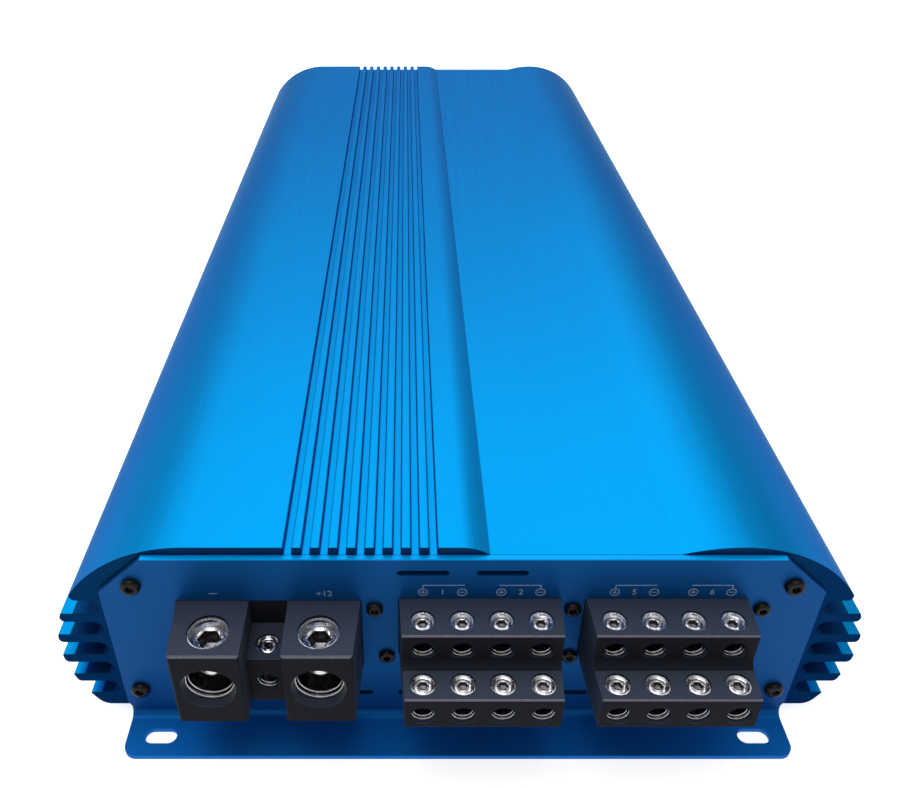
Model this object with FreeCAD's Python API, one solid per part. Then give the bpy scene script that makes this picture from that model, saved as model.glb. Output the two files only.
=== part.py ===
import FreeCAD, Part
import math
import os

# Multichannel car audio amplifier in millimetres.
# +Y runs along the extruded heatsink from the terminal end to the input end, +X is to the right
# when facing the terminal end, +Z is up.  The origin lies on the mounting plane at the centre
# of the four mounting slots.

V = FreeCAD.Vector

# ---------------------------------------------------------------- heatsink extrusion
BODY_LENGTH = 464.0
BASE_Z = 3.6                # underside of the extrusion above the mounting plane
SHOULDER_X = 70.0           # centre of the arc that carries each shoulder and its fin tips
SHOULDER_Z = 26.6
SHOULDER_R = 38.2
DECK_Z = SHOULDER_Z + SHOULDER_R
RECESS_DEPTH = 2.4          # grooves and the broad recess lie this far below the deck
FLOOR_Z = DECK_Z - RECESS_DEPTH

RIB_COUNT = 8
RIB_WIDTH = 2.4
RIB_PITCH = 4.56
FIRST_RIB_X = -41.7         # centre of the rib next to the left shoulder
STRIP_FLAT_WIDTH = 5.7      # flat of the raised strip beside the ribs
STRIP_SLOPE = 7.45          # run of the strip's rounded side
SWEEP_RUN = 15.6            # run of the recess as it rises into the right shoulder

FIN_COUNT = 5
FIN_PITCH = 8.06
FIN_SLOT = 4.9              # gap between two fins
FIRST_SLOT_Z = 43.45        # centre of the slot under the shoulder
FIN_WALL = 4.15             # metal between a slot's bottom and the cavity
FIN_ROUND = 1.45            # rounding of the lower corner of each fin
LAST_FIN_ROUND = 4.2        # and of the one at the underside

WALL_X = SHOULDER_X + 21.0  # inner face of the side wall
FIN_ROOT_X = WALL_X + FIN_WALL
CEILING_WALL = 3.5
CORNER_CUT = 11.0           # sloping inner corner between wall and ceiling
INNER_ROUND = 2.5

PORT_R = 1.5                # self-tapping screw port that runs along the extrusion
PORT_WALL = 1.9
UPPER_PORT = (WALL_X - 6.8, 53.3)
LOWER_PORT = (WALL_X - 2.7, 12.6)
RAIL_X = WALL_X - 6.5       # inner edge of the side rail
COVER_REBATE = 2.5

# ---------------------------------------------------------------- sheet metal
SHEET = 1.5
PLATE_HALF = WALL_X + 2.0
PLATE_CHAMFER = 12.5        # cut corner of the plate, across
PLATE_CHAMFER_DROP = 11.6   # and down
BEND_R = 2.2
FLANGE_DEPTH = 13.7
FLANGE_ROUND = 3.6
FLANGE_NECK = 0.8           # flange in from each side of the plate
NECK_Z = 6.4                # where the plate starts to narrow to the flange
SLOT_X = PLATE_HALF - 10.2
SLOT_OFFSET = 7.5           # slot centre in front of the plate's face
SLOT_LENGTH = 8.9
SLOT_WIDTH = 4.6
VENT_LENGTH = 13.2
VENT_HEIGHT = 1.8
VENT_PITCH = 20.0
UPPER_VENT_COUNT = 2
LOWER_VENT_COUNT = 6
UPPER_VENT_Z = 57.5
LOWER_VENT_Z = 10.7
COVER_END_GAP = 0.3
COVER_SIDE_GAP = 0.1

# ---------------------------------------------------------------- fasteners
SHANK_GAP = 0.05            # between a shank and the port or thread that holds it
HOLE_GAP = 0.2              # between a shank and a clearance hole
M3_R = PORT_R - SHANK_GAP
M3_HEAD_R = 2.55
M3_HEAD_H = 1.75
M3_HEX = 2.5
SOCKET_DEPTH = 0.6          # share of a cap head's height
GRUB_SOCKET = 0.45          # share of a headless screw's length
TIP_CHAMFER = 0.25          # share of a headless screw's radius
PLATE_SCREW_LENGTH = 10.0
TERMINAL_SCREW_R = 1.25
TERMINAL_HEAD_R = 2.2
TERMINAL_HEAD_H = 1.4
TERMINAL_HEX = 2.0
COVER_SCREW_LENGTH = 6.0
COVER_SCREW_COUNT = 4
COVER_SCREW_END = 26.0      # first cover screw from the end of the body
COVER_SCREW_X = WALL_X - 3.0
COVER_HOLE_SPARE = 0.6      # a cover screw's hole past its tip
COUNTERSINK_R = 2.7
COUNTERSINK_H = 1.2

# ---------------------------------------------------------------- circuit board
BOARD_HALF = WALL_X - 2.1
BOARD_Z = 16.0
BOARD_T = 1.6
BOARD_GAP = 0.1
BOARD_END_GAP = 3.0
RAIL_ABOVE_BOARD = 2.0
RAIL_TOP_X = WALL_X - 4.4
BOARD_TOP = BOARD_Z + BOARD_T

# ---------------------------------------------------------------- power terminal
POWER_TOP = 47.6
POWER_BOTTOM = 22.3
POWER_FRONT = 18.0          # how far the big clamps stand out of the plate
POWER_RIGHT = -27.3         # right side of the positive clamp's block
POWER_DRAFT = 1.3           # the outer sides lean in by this much towards the front
REMOTE_WIDTH = 10.0
REMOTE_TOP = 39.2
REMOTE_BOTTOM = 23.2
REMOTE_FRONT = 11.8
POWER_BACK = 17.0           # depth of the housing behind the plate's face
HOUSING_CHAMFER = 0.5
CUTOUT_GAP = 0.2            # plate cut-out around a terminal housing
EAR_T = 2.5                 # moulded flange behind the plate
EAR_RIM = 1.4
POWER_WALL = 1.6
FRONT_WALL = 2.4
POWER_BORE_R = 6.3
POWER_SIDE = 0.85           # metal beside the bore
POWER_BORE_Z = 35.5
POWER_BORE_DEPTH = 24.0
POWER_MOUTH_R = POWER_BORE_R + 0.7
POWER_BLOCK = 2 * (POWER_BORE_R + POWER_SIDE + POWER_WALL)
POSITIVE_X = (POWER_RIGHT - POWER_BLOCK, POWER_RIGHT)
GROUND_X = (POSITIVE_X[0] - REMOTE_WIDTH - POWER_BLOCK, POSITIVE_X[0] - REMOTE_WIDTH)
POWER_SCREW_Y = 10.1        # clamp screw in front of the plate's face
POWER_SCREW_R = 4.0
POWER_SCREW_LENGTH = 10.6
POWER_SCREW_HEX = 5.0
POWER_ACCESS_R = 5.3
POWER_CLAMP_TOP = 44.6
POWER_CLAMP_BOTTOM = 26.0
POWER_SCREW_BITE = 7.2      # tip below the roof of the bore at rest
POWER_COLLAR_DROP = 0.5     # threaded collar's top below the housing's top
REMOTE_BORE_R = 3.0
REMOTE_BORE_Z = 30.2
REMOTE_BORE_DEPTH = 11.0
REMOTE_MOUTH_R = 3.15
REMOTE_SCREW_Y = 6.6
REMOTE_SCREW_R = 2.0
REMOTE_SCREW_LENGTH = 6.0
REMOTE_SCREW_HEX = 2.0
REMOTE_ACCESS_R = 3.2
REMOTE_CLAMP_TOP = 37.8
REMOTE_CLAMP_BOTTOM = 26.2
REMOTE_SIDE_WALL = 0.9
REMOTE_SCREW_BITE = 0.7
REMOTE_COLLAR_DROP = 0.4
CLAMP_TAIL = 3.0            # width of the solder tail under a clamp
TAIL_THICKNESS = 1.2
COLLAR_GAP = 0.1            # between a clamp's collar and the housing round it
MOUTH_SPARE = 1.0           # how far a wire mouth is cut past its front wall
CLAMP_GAP = 0.05            # clamp block in its moulded pocket

# ---------------------------------------------------------------- speaker terminals
WAYS = 4
WAY_PITCH = 9.92
SPEAKER_RIM = 1.0           # outside the first and last way, at the plate
SPEAKER_HALF = WAYS * WAY_PITCH / 2 + SPEAKER_RIM
SPEAKER_LEFT = -16.15       # left side of the left block at the plate
SPEAKER_SPACE = 6.4         # between the two blocks
SPEAKER_CENTRES = {
    "left": SPEAKER_LEFT + SPEAKER_HALF,
    "right": SPEAKER_LEFT + 3 * SPEAKER_HALF + SPEAKER_SPACE,
}
SPEAKER_DRAFT = 1.4         # each side leans in by this much towards the front
SPEAKER_BACK = 16.0
SPEAKER_BOTTOM = 27.3
UPPER_TOP = 48.4
UPPER_FRONT = 12.3
LOWER_TOP = 38.0
LOWER_FRONT = 23.1
STEP_ROUND = 2.4            # moulded round between the two tiers
SPEAKER_CHAMFER = 0.6
SPEAKER_BORE_R = 3.0
SPEAKER_MOUTH_R = 3.1
UPPER_BORE_Z = 42.7
LOWER_BORE_Z = 31.9
UPPER_SCREW_Y = 7.2
LOWER_SCREW_Y = 18.3
SPEAKER_SCREW_R = 2.3
SPEAKER_SCREW_LENGTH = 3.4
SPEAKER_SCREW_HEX = 2.2
SPEAKER_ACCESS_R = 3.2
SPEAKER_CLAMP_HALF = WAY_PITCH / 2 - 0.8
SPEAKER_CLAMP_LENGTH = 8.6
SPEAKER_FRONT_WALL = 1.3
SPEAKER_CLAMP_COVER = 1.3   # plastic above the clamp
SPEAKER_COLLAR_DROP = 0.3
SPEAKER_CLAMP_FLOOR = 3.7   # from bore axis to the clamp's underside
LOWER_SCREW_BITE = 0.8
UPPER_SCREW_BITE = 1.7      # the upper row is screwed in further
EAR_SCREWS = {              # sideways from the block's left or right side, and height
    "left": [(-6.3, 44.9), (-3.3, 26.6), (4.25, 26.6)],
    "right": [(-3.1, 44.9), (4.15, 44.9)],
}
EAR_HALF = 3.4
EAR_REACH = 1.9             # plastic outside an ear's screw

# ---------------------------------------------------------------- input end
INPUT_BOARD_Y = 14.0        # from the end plate's inner face to the board's far side
INPUT_BOARD_T = 1.6
INPUT_BOARD_HALF = WALL_X - 12.0
INPUT_BOARD_TOP = 57.0
RCA_X = (22.0, 38.0, 54.0, 70.0)
RCA_Z = (29.0, 46.0)
RCA_BODY_HALF = 6.8
RCA_BODY_Z = (20.0, 54.5)
RCA_COLLAR_R = 5.4
RCA_PROUD = 0.8
RCA_SLEEVE_R = 4.15
RCA_SLEEVE_INNER_R = 3.4
RCA_SLEEVE_OUT = 9.6
RCA_PIN_R = 1.6
RCA_INSERT_DROP = 0.6       # insert's face inside the sleeve's end
RCA_INSERT_BACK = 1.0       # solid back of an insert
KNOB_R = 3.0
KNOB_GAP = 0.3
KNOB_PROUD = 1.6
KNOB_SLOT = 0.9
KNOB_SLOT_DEPTH = 1.0
POT_HALF = 5.2
POT_DEPTH = 7.0
PIVOT_R = 1.5
PIVOT_GAP = 0.05
PIVOT_LENGTH = 4.0
GAIN_KNOBS = {
    "gain_knob_1": (4.0, 46.0),
    "gain_knob_2": (-12.0, 46.0),
    "gain_knob_3": (-28.0, 46.0),
    "gain_knob_4": (-44.0, 46.0),
    "crossover_knob_1": (4.0, 29.0),
    "crossover_knob_2": (-28.0, 29.0),
}
SWITCHES = {
    "filter_switch_1": (-12.0, 29.0),
    "filter_switch_2": (-44.0, 29.0),
    "input_mode_switch": (-60.0, 29.0),
}
SWITCH_HALF = 6.0
SWITCH_HEIGHT = 3.4
SWITCH_DEPTH = 7.0
SLIDER_HALF = 1.9
SLIDER_HEIGHT = 1.3
SLIDER_TRAVEL = 1.5         # each way from the middle
SLIDER_GAP = 0.3
SLIDER_PROUD = 1.8
LED_R = 1.5
LED_PLACES = [(-70.0, 50.0), (-70.0, 42.0)]
LED_PROUD = 1.1
REMOTE_JACK_X = -60.0
REMOTE_JACK_Z = 46.0
REMOTE_JACK_HALF = 6.6
REMOTE_JACK_HEIGHT = 6.0
REMOTE_JACK_MOUTH = (5.0, 3.6)
REMOTE_JACK_DEPTH = 11.0

# ---------------------------------------------------------------- inside
TRANSISTOR = (15.6, 4.8, 20.0)
TRANSISTOR_COUNT = 10
TRANSISTOR_PITCH = 36.0
TRANSISTOR_Z = 20.5
CLAMP_BAR = (3.0, 10.0)
BAR_OVERHANG = 6.0
BAR_SCREW_COUNT = 4
BAR_SCREW_DEPTH = 3.4
BAR_SCREW_SPARE = 0.4
CAPACITOR_R = 9.0
CAPACITOR_H = 32.0
CAPACITOR_PITCH = 20.5
CAPACITOR_ROWS = (3, 3)
CAPACITOR_AT = (30.0, -30.0)
TOROID_R = 26.0
TOROID_HOLE_R = 11.0
TOROID_H = 22.0
TOROID_AT = [(-38.0, -110.0), (-38.0, -40.0), (-38.0, 30.0)]
INDUCTOR_R = 9.0
INDUCTOR_HOLE_R = 3.5
INDUCTOR_H = 14.0
INDUCTOR_COUNT = 6
INDUCTOR_PITCH = 22.0
INDUCTOR_X = 40.0
INDUCTOR_SPACE = 8.0        # between the speaker terminals and the first row of chokes

FRONT = -1
REAR = 1
BODY_END = BODY_LENGTH / 2
PLATE_FACE = BODY_END + SHEET


# ================================================================ drawing helpers
def corner(before, point, after, radius):
    """Start, middle and end of the arc that rounds one corner of an outline."""
    into = (before - point).normalize()
    out = (after - point).normalize()
    half = into.getAngle(out) / 2
    run = radius / math.tan(half)
    middle = (into + out).normalize()
    centre = point + middle * (radius / math.sin(half))
    return point + into * run, centre - middle * radius, point + out * run


def outline(points):
    """Closed wire in the X-Y plane from (x, y) or (x, y, corner radius) points."""
    flat = [V(p[0], p[1], 0) for p in points]
    radii = [p[2] if len(p) > 2 else 0.0 for p in points]
    edges = []
    stops = []
    for i, point in enumerate(flat):
        if radii[i]:
            start, middle, end = corner(flat[i - 1], point, flat[(i + 1) % len(flat)], radii[i])
            stops.append((start, end))
            edges.append(Part.Arc(start, middle, end).toShape())
        else:
            stops.append((point, point))
            edges.append(None)
    loop = []
    for i, (start, end) in enumerate(stops):
        if edges[i]:
            loop.append(edges[i])
        following = stops[(i + 1) % len(stops)][0]
        if end.distanceToPoint(following) > 1e-6:
            loop.append(Part.LineSegment(end, following).toShape())
    return Part.Wire(loop)


def extrude_up(points, z0, z1):
    """Prism of an X-Y outline between two heights."""
    face = Part.Face(outline(points))
    face.translate(V(0, 0, z0))
    return face.extrude(V(0, 0, z1 - z0))


def extrude_along(points, y0, y1):
    """Prism of an X-Z outline between two stations along Y."""
    face = Part.Face(outline(points))
    face.rotate(V(0, 0, 0), V(1, 0, 0), 90)
    face.translate(V(0, y0, 0))
    return face.extrude(V(0, y1 - y0, 0))


def extrude_across(points, x0, x1):
    """Prism of a Y-Z outline between two stations along X."""
    face = Part.Face(outline(points))
    face.rotate(V(0, 0, 0), V(1, 1, 1), 120)
    face.translate(V(x0, 0, 0))
    return face.extrude(V(x1 - x0, 0, 0))


def box(x, y, z):
    """Box between two limits on each axis."""
    low = V(min(x), min(y), min(z))
    return Part.makeBox(abs(x[1] - x[0]), abs(y[1] - y[0]), abs(z[1] - z[0]), low)


def rod(centre, radius, length, way):
    """Cylinder that starts at centre and runs along way."""
    return Part.makeCylinder(radius, length, V(*centre), V(*way))


def hexagon(centre, across_flats, length, way):
    """Hexagonal prism that starts at centre and runs along way."""
    radius = across_flats / math.sqrt(3)
    corners = [V(radius * math.cos(a), radius * math.sin(a), 0)
               for a in (math.radians(60 * i) for i in range(7))]
    prism = Part.Face(Part.makePolygon(corners)).extrude(V(0, 0, length))
    prism.Placement = FreeCAD.Placement(V(*centre), FreeCAD.Rotation(V(0, 0, 1), V(*way)))
    return prism


def stadium(centre, length, width):
    """Points of a round-ended slot, long side along the first axis."""
    a, b = length / 2, width / 2
    u, v = centre
    r = b * 0.9999
    return [(u - a, v - b, r), (u + a, v - b, r), (u + a, v + b, r), (u - a, v + b, r)]


def spread(count, pitch):
    """Places of an evenly spaced row about zero."""
    return [(i - (count - 1) / 2) * pitch for i in range(count)]


def fuse(shapes):
    """One solid out of touching or overlapping ones, with merged faces."""
    return shapes[0].fuse(shapes[1:]).removeSplitter()


def cut(shape, tools):
    """The shape with all tools taken away."""
    return shape.cut(tools)


def bevel_edges(shape, size, wanted):
    """Chamfer the straight edges whose centre passes the wanted test."""
    chosen = [e for e in shape.Edges
              if e.Curve.TypeId == "Part::GeomLine" and wanted(e.CenterOfMass, e)]
    return shape.makeChamfer(size, chosen)


def save(name, shapes):
    """Write one node, made of one or more separate solids."""
    solids = [s for shape in shapes for s in shape.Solids]
    node = solids[0] if len(solids) == 1 else Part.makeCompound(solids)
    node.exportStep(os.path.join("parts", name + ".step"))


# ================================================================ heatsink
def deck_points():
    """Top of the profile from the left shoulder to the right one, without its two arcs."""
    shoulder_edge = FIRST_RIB_X - RIB_PITCH + RIB_WIDTH / 2
    points = [(-SHOULDER_X, DECK_Z), (shoulder_edge, DECK_Z)]
    for i in range(RIB_COUNT):
        centre = FIRST_RIB_X + i * RIB_PITCH
        left, right = centre - RIB_WIDTH / 2, centre + RIB_WIDTH / 2
        points += [(points[-1][0], FLOOR_Z), (left, FLOOR_Z), (left, DECK_Z), (right, DECK_Z)]
    strip_left = points[-1][0] + RIB_PITCH - RIB_WIDTH
    points += [(points[-1][0], FLOOR_Z), (strip_left, FLOOR_Z), (strip_left, DECK_Z)]
    points.append((strip_left + STRIP_FLAT_WIDTH, DECK_Z))
    return points


def falling_arc(x_top, x_floor):
    """Arc that leaves the deck level at x_top and comes down to the recess floor at x_floor."""
    run = x_floor - x_top
    radius = (run ** 2 + RECESS_DEPTH ** 2) / (2 * RECESS_DEPTH)
    half = math.asin(abs(run) / radius) / 2
    side = math.copysign(1, run)
    middle = V(x_top + side * radius * math.sin(half), DECK_Z - radius * (1 - math.cos(half)), 0)
    return Part.Arc(V(x_top, DECK_Z, 0), middle, V(x_floor, FLOOR_Z, 0)).toShape()


def side_arc(side):
    """Arc of one flank, from the deck round the fin tips to the underside."""
    drop = SHOULDER_Z - BASE_Z
    foot_x = SHOULDER_X + math.sqrt(SHOULDER_R ** 2 - drop ** 2)
    return Part.Arc(V(side * SHOULDER_X, DECK_Z, 0),
                    V(side * (SHOULDER_X + SHOULDER_R), SHOULDER_Z, 0),
                    V(side * foot_x, BASE_Z, 0)).toShape()


def heatsink_blank():
    """Solid profile: round flanks, ribs, raised strip and the recess that sweeps up again."""
    points = [V(x, z, 0) for x, z in deck_points()]
    edges = [Part.LineSegment(a, b).toShape() for a, b in zip(points, points[1:])]
    strip_end = points[-1].x
    recess_start = strip_end + STRIP_SLOPE
    edges.append(falling_arc(strip_end, recess_start))
    edges.append(Part.LineSegment(V(recess_start, FLOOR_Z, 0),
                                  V(SHOULDER_X - SWEEP_RUN, FLOOR_Z, 0)).toShape())
    edges.append(falling_arc(SHOULDER_X, SHOULDER_X - SWEEP_RUN))
    left, right = side_arc(-1), side_arc(1)
    foot = right.Vertexes[-1].Point
    edges += [left, right, Part.LineSegment(V(-foot.x, BASE_Z, 0), V(foot.x, BASE_Z, 0)).toShape()]
    face = Part.Face(Part.Wire(Part.sortEdges(edges)[0]))
    face.rotate(V(0, 0, 0), V(1, 0, 0), 90)
    face.translate(V(0, -BODY_END, 0))
    return face.extrude(V(0, BODY_LENGTH, 0))


def fin_slots(side):
    """Round-bottomed slots that leave the cooling fins of one flank."""
    slots = []
    outside = SHOULDER_X + SHOULDER_R + FIN_WALL
    for i in range(FIN_COUNT):
        z = FIRST_SLOT_Z - i * FIN_PITCH
        half = FIN_SLOT / 2
        points = [(side * FIN_ROOT_X, z - half, half * 0.999), (side * outside, z - half),
                  (side * outside, z + half), (side * FIN_ROOT_X, z + half, half * 0.999)]
        slots.append(extrude_along(points, -BODY_END, BODY_END))
    return slots


def cavity():
    """Room inside the extrusion, open at the bottom."""
    ceiling = FLOOR_Z - CEILING_WALL
    slope_x, slope_z = WALL_X - CORNER_CUT, ceiling - CORNER_CUT
    points = [(-WALL_X, BASE_Z), (-WALL_X, slope_z, INNER_ROUND), (-slope_x, ceiling, INNER_ROUND),
              (slope_x, ceiling, INNER_ROUND), (WALL_X, slope_z, INNER_ROUND), (WALL_X, BASE_Z)]
    return extrude_along(points, -BODY_END, BODY_END)


def side_rail(side):
    """Rail with the lower screw port, the seat of the bottom cover and the board groove."""
    seat = BASE_Z + SHEET
    buried = side * (WALL_X + FIN_WALL / 2)
    rail = box((side * RAIL_X, buried), (-BODY_END, BODY_END), (seat, BOARD_Z - BOARD_GAP))
    lip_z = BOARD_TOP + BOARD_GAP
    lip = box((side * RAIL_TOP_X, buried), (-BODY_END, BODY_END), (lip_z, lip_z + RAIL_ABOVE_BOARD))
    return [rail, lip]


def heatsink():
    """Aluminium extrusion with ribs, fins, screw ports and board grooves."""
    body = cut(heatsink_blank(), [cavity()] + fin_slots(-1) + fin_slots(1))
    added = []
    drilled = []
    for side in (-1, 1):
        added += side_rail(side)
        x, z = UPPER_PORT
        added.append(rod((side * x, -BODY_END, z), PORT_R + PORT_WALL, BODY_LENGTH, (0, 1, 0)))
        for x, z in (UPPER_PORT, LOWER_PORT):
            drilled.append(rod((side * x, -BODY_END, z), PORT_R, BODY_LENGTH, (0, 1, 0)))
        rebate_x = WALL_X + COVER_REBATE
        drilled.append(box((0, side * rebate_x), (-BODY_END, BODY_END), (BASE_Z, BASE_Z + SHEET)))
        for y in cover_screw_rows():
            drilled.append(rod((side * COVER_SCREW_X, y, BASE_Z), PORT_R,
                               COVER_SCREW_LENGTH + COVER_HOLE_SPARE, (0, 0, 1)))
        for y in bar_screw_places():
            drilled.append(rod((side * WALL_X, y, bar_centre_z()), PORT_R, BAR_SCREW_DEPTH,
                               (side, 0, 0)))
    body = cut(fuse([body] + added), drilled)
    return round_fin_corners(body)


def round_fin_corners(body):
    """Round the lower outer corner of every fin, the lowest one with a larger radius."""
    slot_tops = [FIRST_SLOT_Z - i * FIN_PITCH + FIN_SLOT / 2 for i in range(FIN_COUNT)]
    for radius, heights in ((FIN_ROUND, slot_tops), (LAST_FIN_ROUND, [BASE_Z])):
        chosen = []
        for edge in body.Edges:
            if edge.Curve.TypeId != "Part::GeomLine" or edge.Length < BODY_LENGTH - 1:
                continue
            x, z = abs(edge.CenterOfMass.x), edge.CenterOfMass.z
            tip = abs(math.hypot(x - SHOULDER_X, z - SHOULDER_Z) - SHOULDER_R) < 0.01
            lower = any(abs(z - height) < 0.01 for height in heights)
            if tip and lower and x > SHOULDER_X + 1:
                chosen.append(edge)
        body = body.makeFillet(radius, chosen)
    return body


def cover_screw_rows():
    """Stations of the bottom cover's screws along the body."""
    pitch = (BODY_LENGTH - 2 * COVER_SCREW_END) / (COVER_SCREW_COUNT - 1)
    return spread(COVER_SCREW_COUNT, pitch)


# ================================================================ sheet-metal parts
def plate_blank(end):
    """End plate with its bent mounting flange, trimmed to its outline."""
    inner, outer = BODY_END, PLATE_FACE
    tip = outer + FLANGE_DEPTH
    side_view = [(end * inner, FLOOR_Z), (end * inner, 0, BEND_R + SHEET), (end * tip, 0),
                 (end * tip, SHEET), (end * outer, SHEET, BEND_R), (end * outer, FLOOR_Z)]
    blank = extrude_across(side_view, -PLATE_HALF, PLATE_HALF)
    top = FLOOR_Z
    low = top - PLATE_CHAMFER_DROP
    flange_half = PLATE_HALF - FLANGE_NECK
    right = [(flange_half, 0), (flange_half, NECK_Z - 2 * FLANGE_NECK), (PLATE_HALF, NECK_Z),
             (PLATE_HALF, low), (PLATE_HALF - PLATE_CHAMFER, top)]
    front_view = right + [(-x, z) for x, z in reversed(right)]
    plan_view = [(-PLATE_HALF, 0), (-PLATE_HALF, end * outer), (-flange_half, end * outer),
                 (-flange_half, end * tip, FLANGE_ROUND), (flange_half, end * tip, FLANGE_ROUND),
                 (flange_half, end * outer), (PLATE_HALF, end * outer), (PLATE_HALF, 0)]
    blank = blank.common(extrude_along(front_view, 0, end * tip))
    return blank.common(extrude_up(plan_view, 0, top))


def plate_holes(end):
    """Mounting slots, vent slots and screw holes that both end plates have."""
    slot_y = end * (PLATE_FACE + SLOT_OFFSET)
    holes = [extrude_up(stadium((side * SLOT_X, slot_y), SLOT_LENGTH, SLOT_WIDTH), 0, SHEET)
             for side in (-1, 1)]
    inner, outer = end * BODY_END, end * PLATE_FACE
    rows = ((UPPER_VENT_COUNT, UPPER_VENT_Z), (LOWER_VENT_COUNT, LOWER_VENT_Z))
    for count, z in rows:
        for x in spread(count, VENT_PITCH):
            holes.append(extrude_along(stadium((x, z), VENT_LENGTH, VENT_HEIGHT), inner, outer))
    for x, z in (UPPER_PORT, LOWER_PORT):
        for side in (-1, 1):
            holes.append(rod((side * x, inner, z), PORT_R + HOLE_GAP, SHEET, (0, end, 0)))
    return holes


def front_plate():
    """End plate with the cut-outs for the terminals."""
    holes = plate_holes(FRONT)
    for x, z in power_windows() + speaker_windows():
        gap_x = (x[0] - CUTOUT_GAP, x[1] + CUTOUT_GAP)
        gap_z = (z[0] - CUTOUT_GAP, z[1] + CUTOUT_GAP)
        holes.append(box(gap_x, (-PLATE_FACE, -BODY_END), gap_z))
    for x, z in ear_screw_places():
        holes.append(rod((x, -BODY_END, z), TERMINAL_SCREW_R + HOLE_GAP, SHEET, (0, -1, 0)))
    return cut(plate_blank(FRONT), holes)


def rear_plate():
    """End plate with the holes for sockets, knobs, switches and indicators."""
    holes = plate_holes(REAR)
    for x in RCA_X:
        for z in RCA_Z:
            holes.append(rod((x, BODY_END, z), RCA_COLLAR_R + HOLE_GAP, SHEET, (0, 1, 0)))
    for x, z in GAIN_KNOBS.values():
        holes.append(rod((x, BODY_END, z), KNOB_R + KNOB_GAP, SHEET, (0, 1, 0)))
    for x, z in SWITCHES.values():
        reach = SLIDER_HALF + SLIDER_TRAVEL + SLIDER_GAP
        tall = SLIDER_HEIGHT + SLIDER_GAP
        holes.append(box((x - reach, x + reach), (BODY_END, PLATE_FACE), (z - tall, z + tall)))
    for x, z in LED_PLACES:
        holes.append(rod((x, BODY_END, z), LED_R + SHANK_GAP, SHEET, (0, 1, 0)))
    half_x, half_z = REMOTE_JACK_HALF, REMOTE_JACK_HEIGHT
    holes.append(box((REMOTE_JACK_X - half_x - HOLE_GAP, REMOTE_JACK_X + half_x + HOLE_GAP),
                     (BODY_END, PLATE_FACE),
                     (REMOTE_JACK_Z - half_z - HOLE_GAP, REMOTE_JACK_Z + half_z + HOLE_GAP)))
    return cut(plate_blank(REAR), holes)


def bottom_cover():
    """Flat cover that lies in the rebates of the side walls."""
    half = WALL_X + COVER_REBATE - COVER_SIDE_GAP
    end = BODY_END - COVER_END_GAP
    cover = box((-half, half), (-end, end), (BASE_Z, BASE_Z + SHEET))
    sinks = []
    for side in (-1, 1):
        for y in cover_screw_rows():
            at = V(side * COVER_SCREW_X, y, BASE_Z)
            sinks.append(Part.makeCone(COUNTERSINK_R + SHANK_GAP, PORT_R + SHANK_GAP, COUNTERSINK_H, at))
            sinks.append(rod(tuple(at), PORT_R + SHANK_GAP, SHEET, (0, 0, 1)))
    return cut(cover, sinks)


# ================================================================ fasteners
def cap_screw(face_at, way, shank_r, length, head_r, head_h, hex_size):
    """Socket cap screw whose head sits on a face and whose shank runs along way."""
    back = tuple(-c for c in way)
    head = rod(face_at, head_r, head_h, back)
    shank = rod(face_at, shank_r, length, way)
    top = tuple(a + b * head_h for a, b in zip(face_at, back))
    return cut(fuse([head, shank]), [hexagon(top, hex_size, head_h * SOCKET_DEPTH, way)])


def plate_screws(end):
    """Four cap screws that hold one end plate to the extrusion."""
    screws = []
    for x, z in (UPPER_PORT, LOWER_PORT):
        for side in (-1, 1):
            at = (side * x, end * PLATE_FACE, z)
            screws.append(cap_screw(at, (0, -end, 0), M3_R, PLATE_SCREW_LENGTH,
                                    M3_HEAD_R, M3_HEAD_H, M3_HEX))
    return screws


def terminal_screws():
    """Cap screws that hold the speaker terminals' ears against the front plate."""
    return [cap_screw((x, -PLATE_FACE, z), (0, 1, 0), TERMINAL_SCREW_R, SHEET + EAR_T,
                      TERMINAL_HEAD_R, TERMINAL_HEAD_H, TERMINAL_HEX)
            for x, z in ear_screw_places()]


def cover_screws():
    """Countersunk screws of the bottom cover, driven from below."""
    screws = []
    for side in (-1, 1):
        for y in cover_screw_rows():
            at = V(side * COVER_SCREW_X, y, BASE_Z)
            head = Part.makeCone(COUNTERSINK_R, M3_R, COUNTERSINK_H, at)
            screws.append(fuse([head, rod(tuple(at), M3_R, COVER_SCREW_LENGTH, (0, 0, 1))]))
    return screws


def grub_screw(x, y, top_z, radius, length, hex_size):
    """Headless clamp screw with a hexagon socket and a chamfered tip."""
    tip = radius * TIP_CHAMFER
    shank = rod((x, y, top_z - length + tip), radius, length - tip, (0, 0, 1))
    point = Part.makeCone(radius - tip, radius, tip, V(x, y, top_z - length))
    return cut(fuse([shank, point]), [hexagon((x, y, top_z), hex_size, length * GRUB_SOCKET, (0, 0, -1))])


# ================================================================ power terminal
def power_centres():
    """Middle of the ground, remote and positive clamps across the panel."""
    ground = sum(GROUND_X) / 2
    positive = sum(POSITIVE_X) / 2
    remote = (GROUND_X[1] + POSITIVE_X[0]) / 2
    return ground, remote, positive


def power_windows():
    """Front-view rectangles that the power housing fills."""
    return [((GROUND_X[0] - POWER_DRAFT, GROUND_X[1]), (POWER_BOTTOM, POWER_TOP)),
            ((GROUND_X[1], POSITIVE_X[0]), (REMOTE_BOTTOM, POWER_TOP)),
            ((POSITIVE_X[0], POSITIVE_X[1] + POWER_DRAFT), (POWER_BOTTOM, POWER_TOP))]


def big_clamp(x_range):
    """Clamp block limits on X, Y and Z for one cable clamp."""
    return ((x_range[0] + POWER_WALL, x_range[1] - POWER_WALL),
            (-PLATE_FACE - POWER_FRONT + FRONT_WALL, -PLATE_FACE + POWER_BACK - POWER_WALL),
            (POWER_CLAMP_BOTTOM, POWER_CLAMP_TOP))


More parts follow.
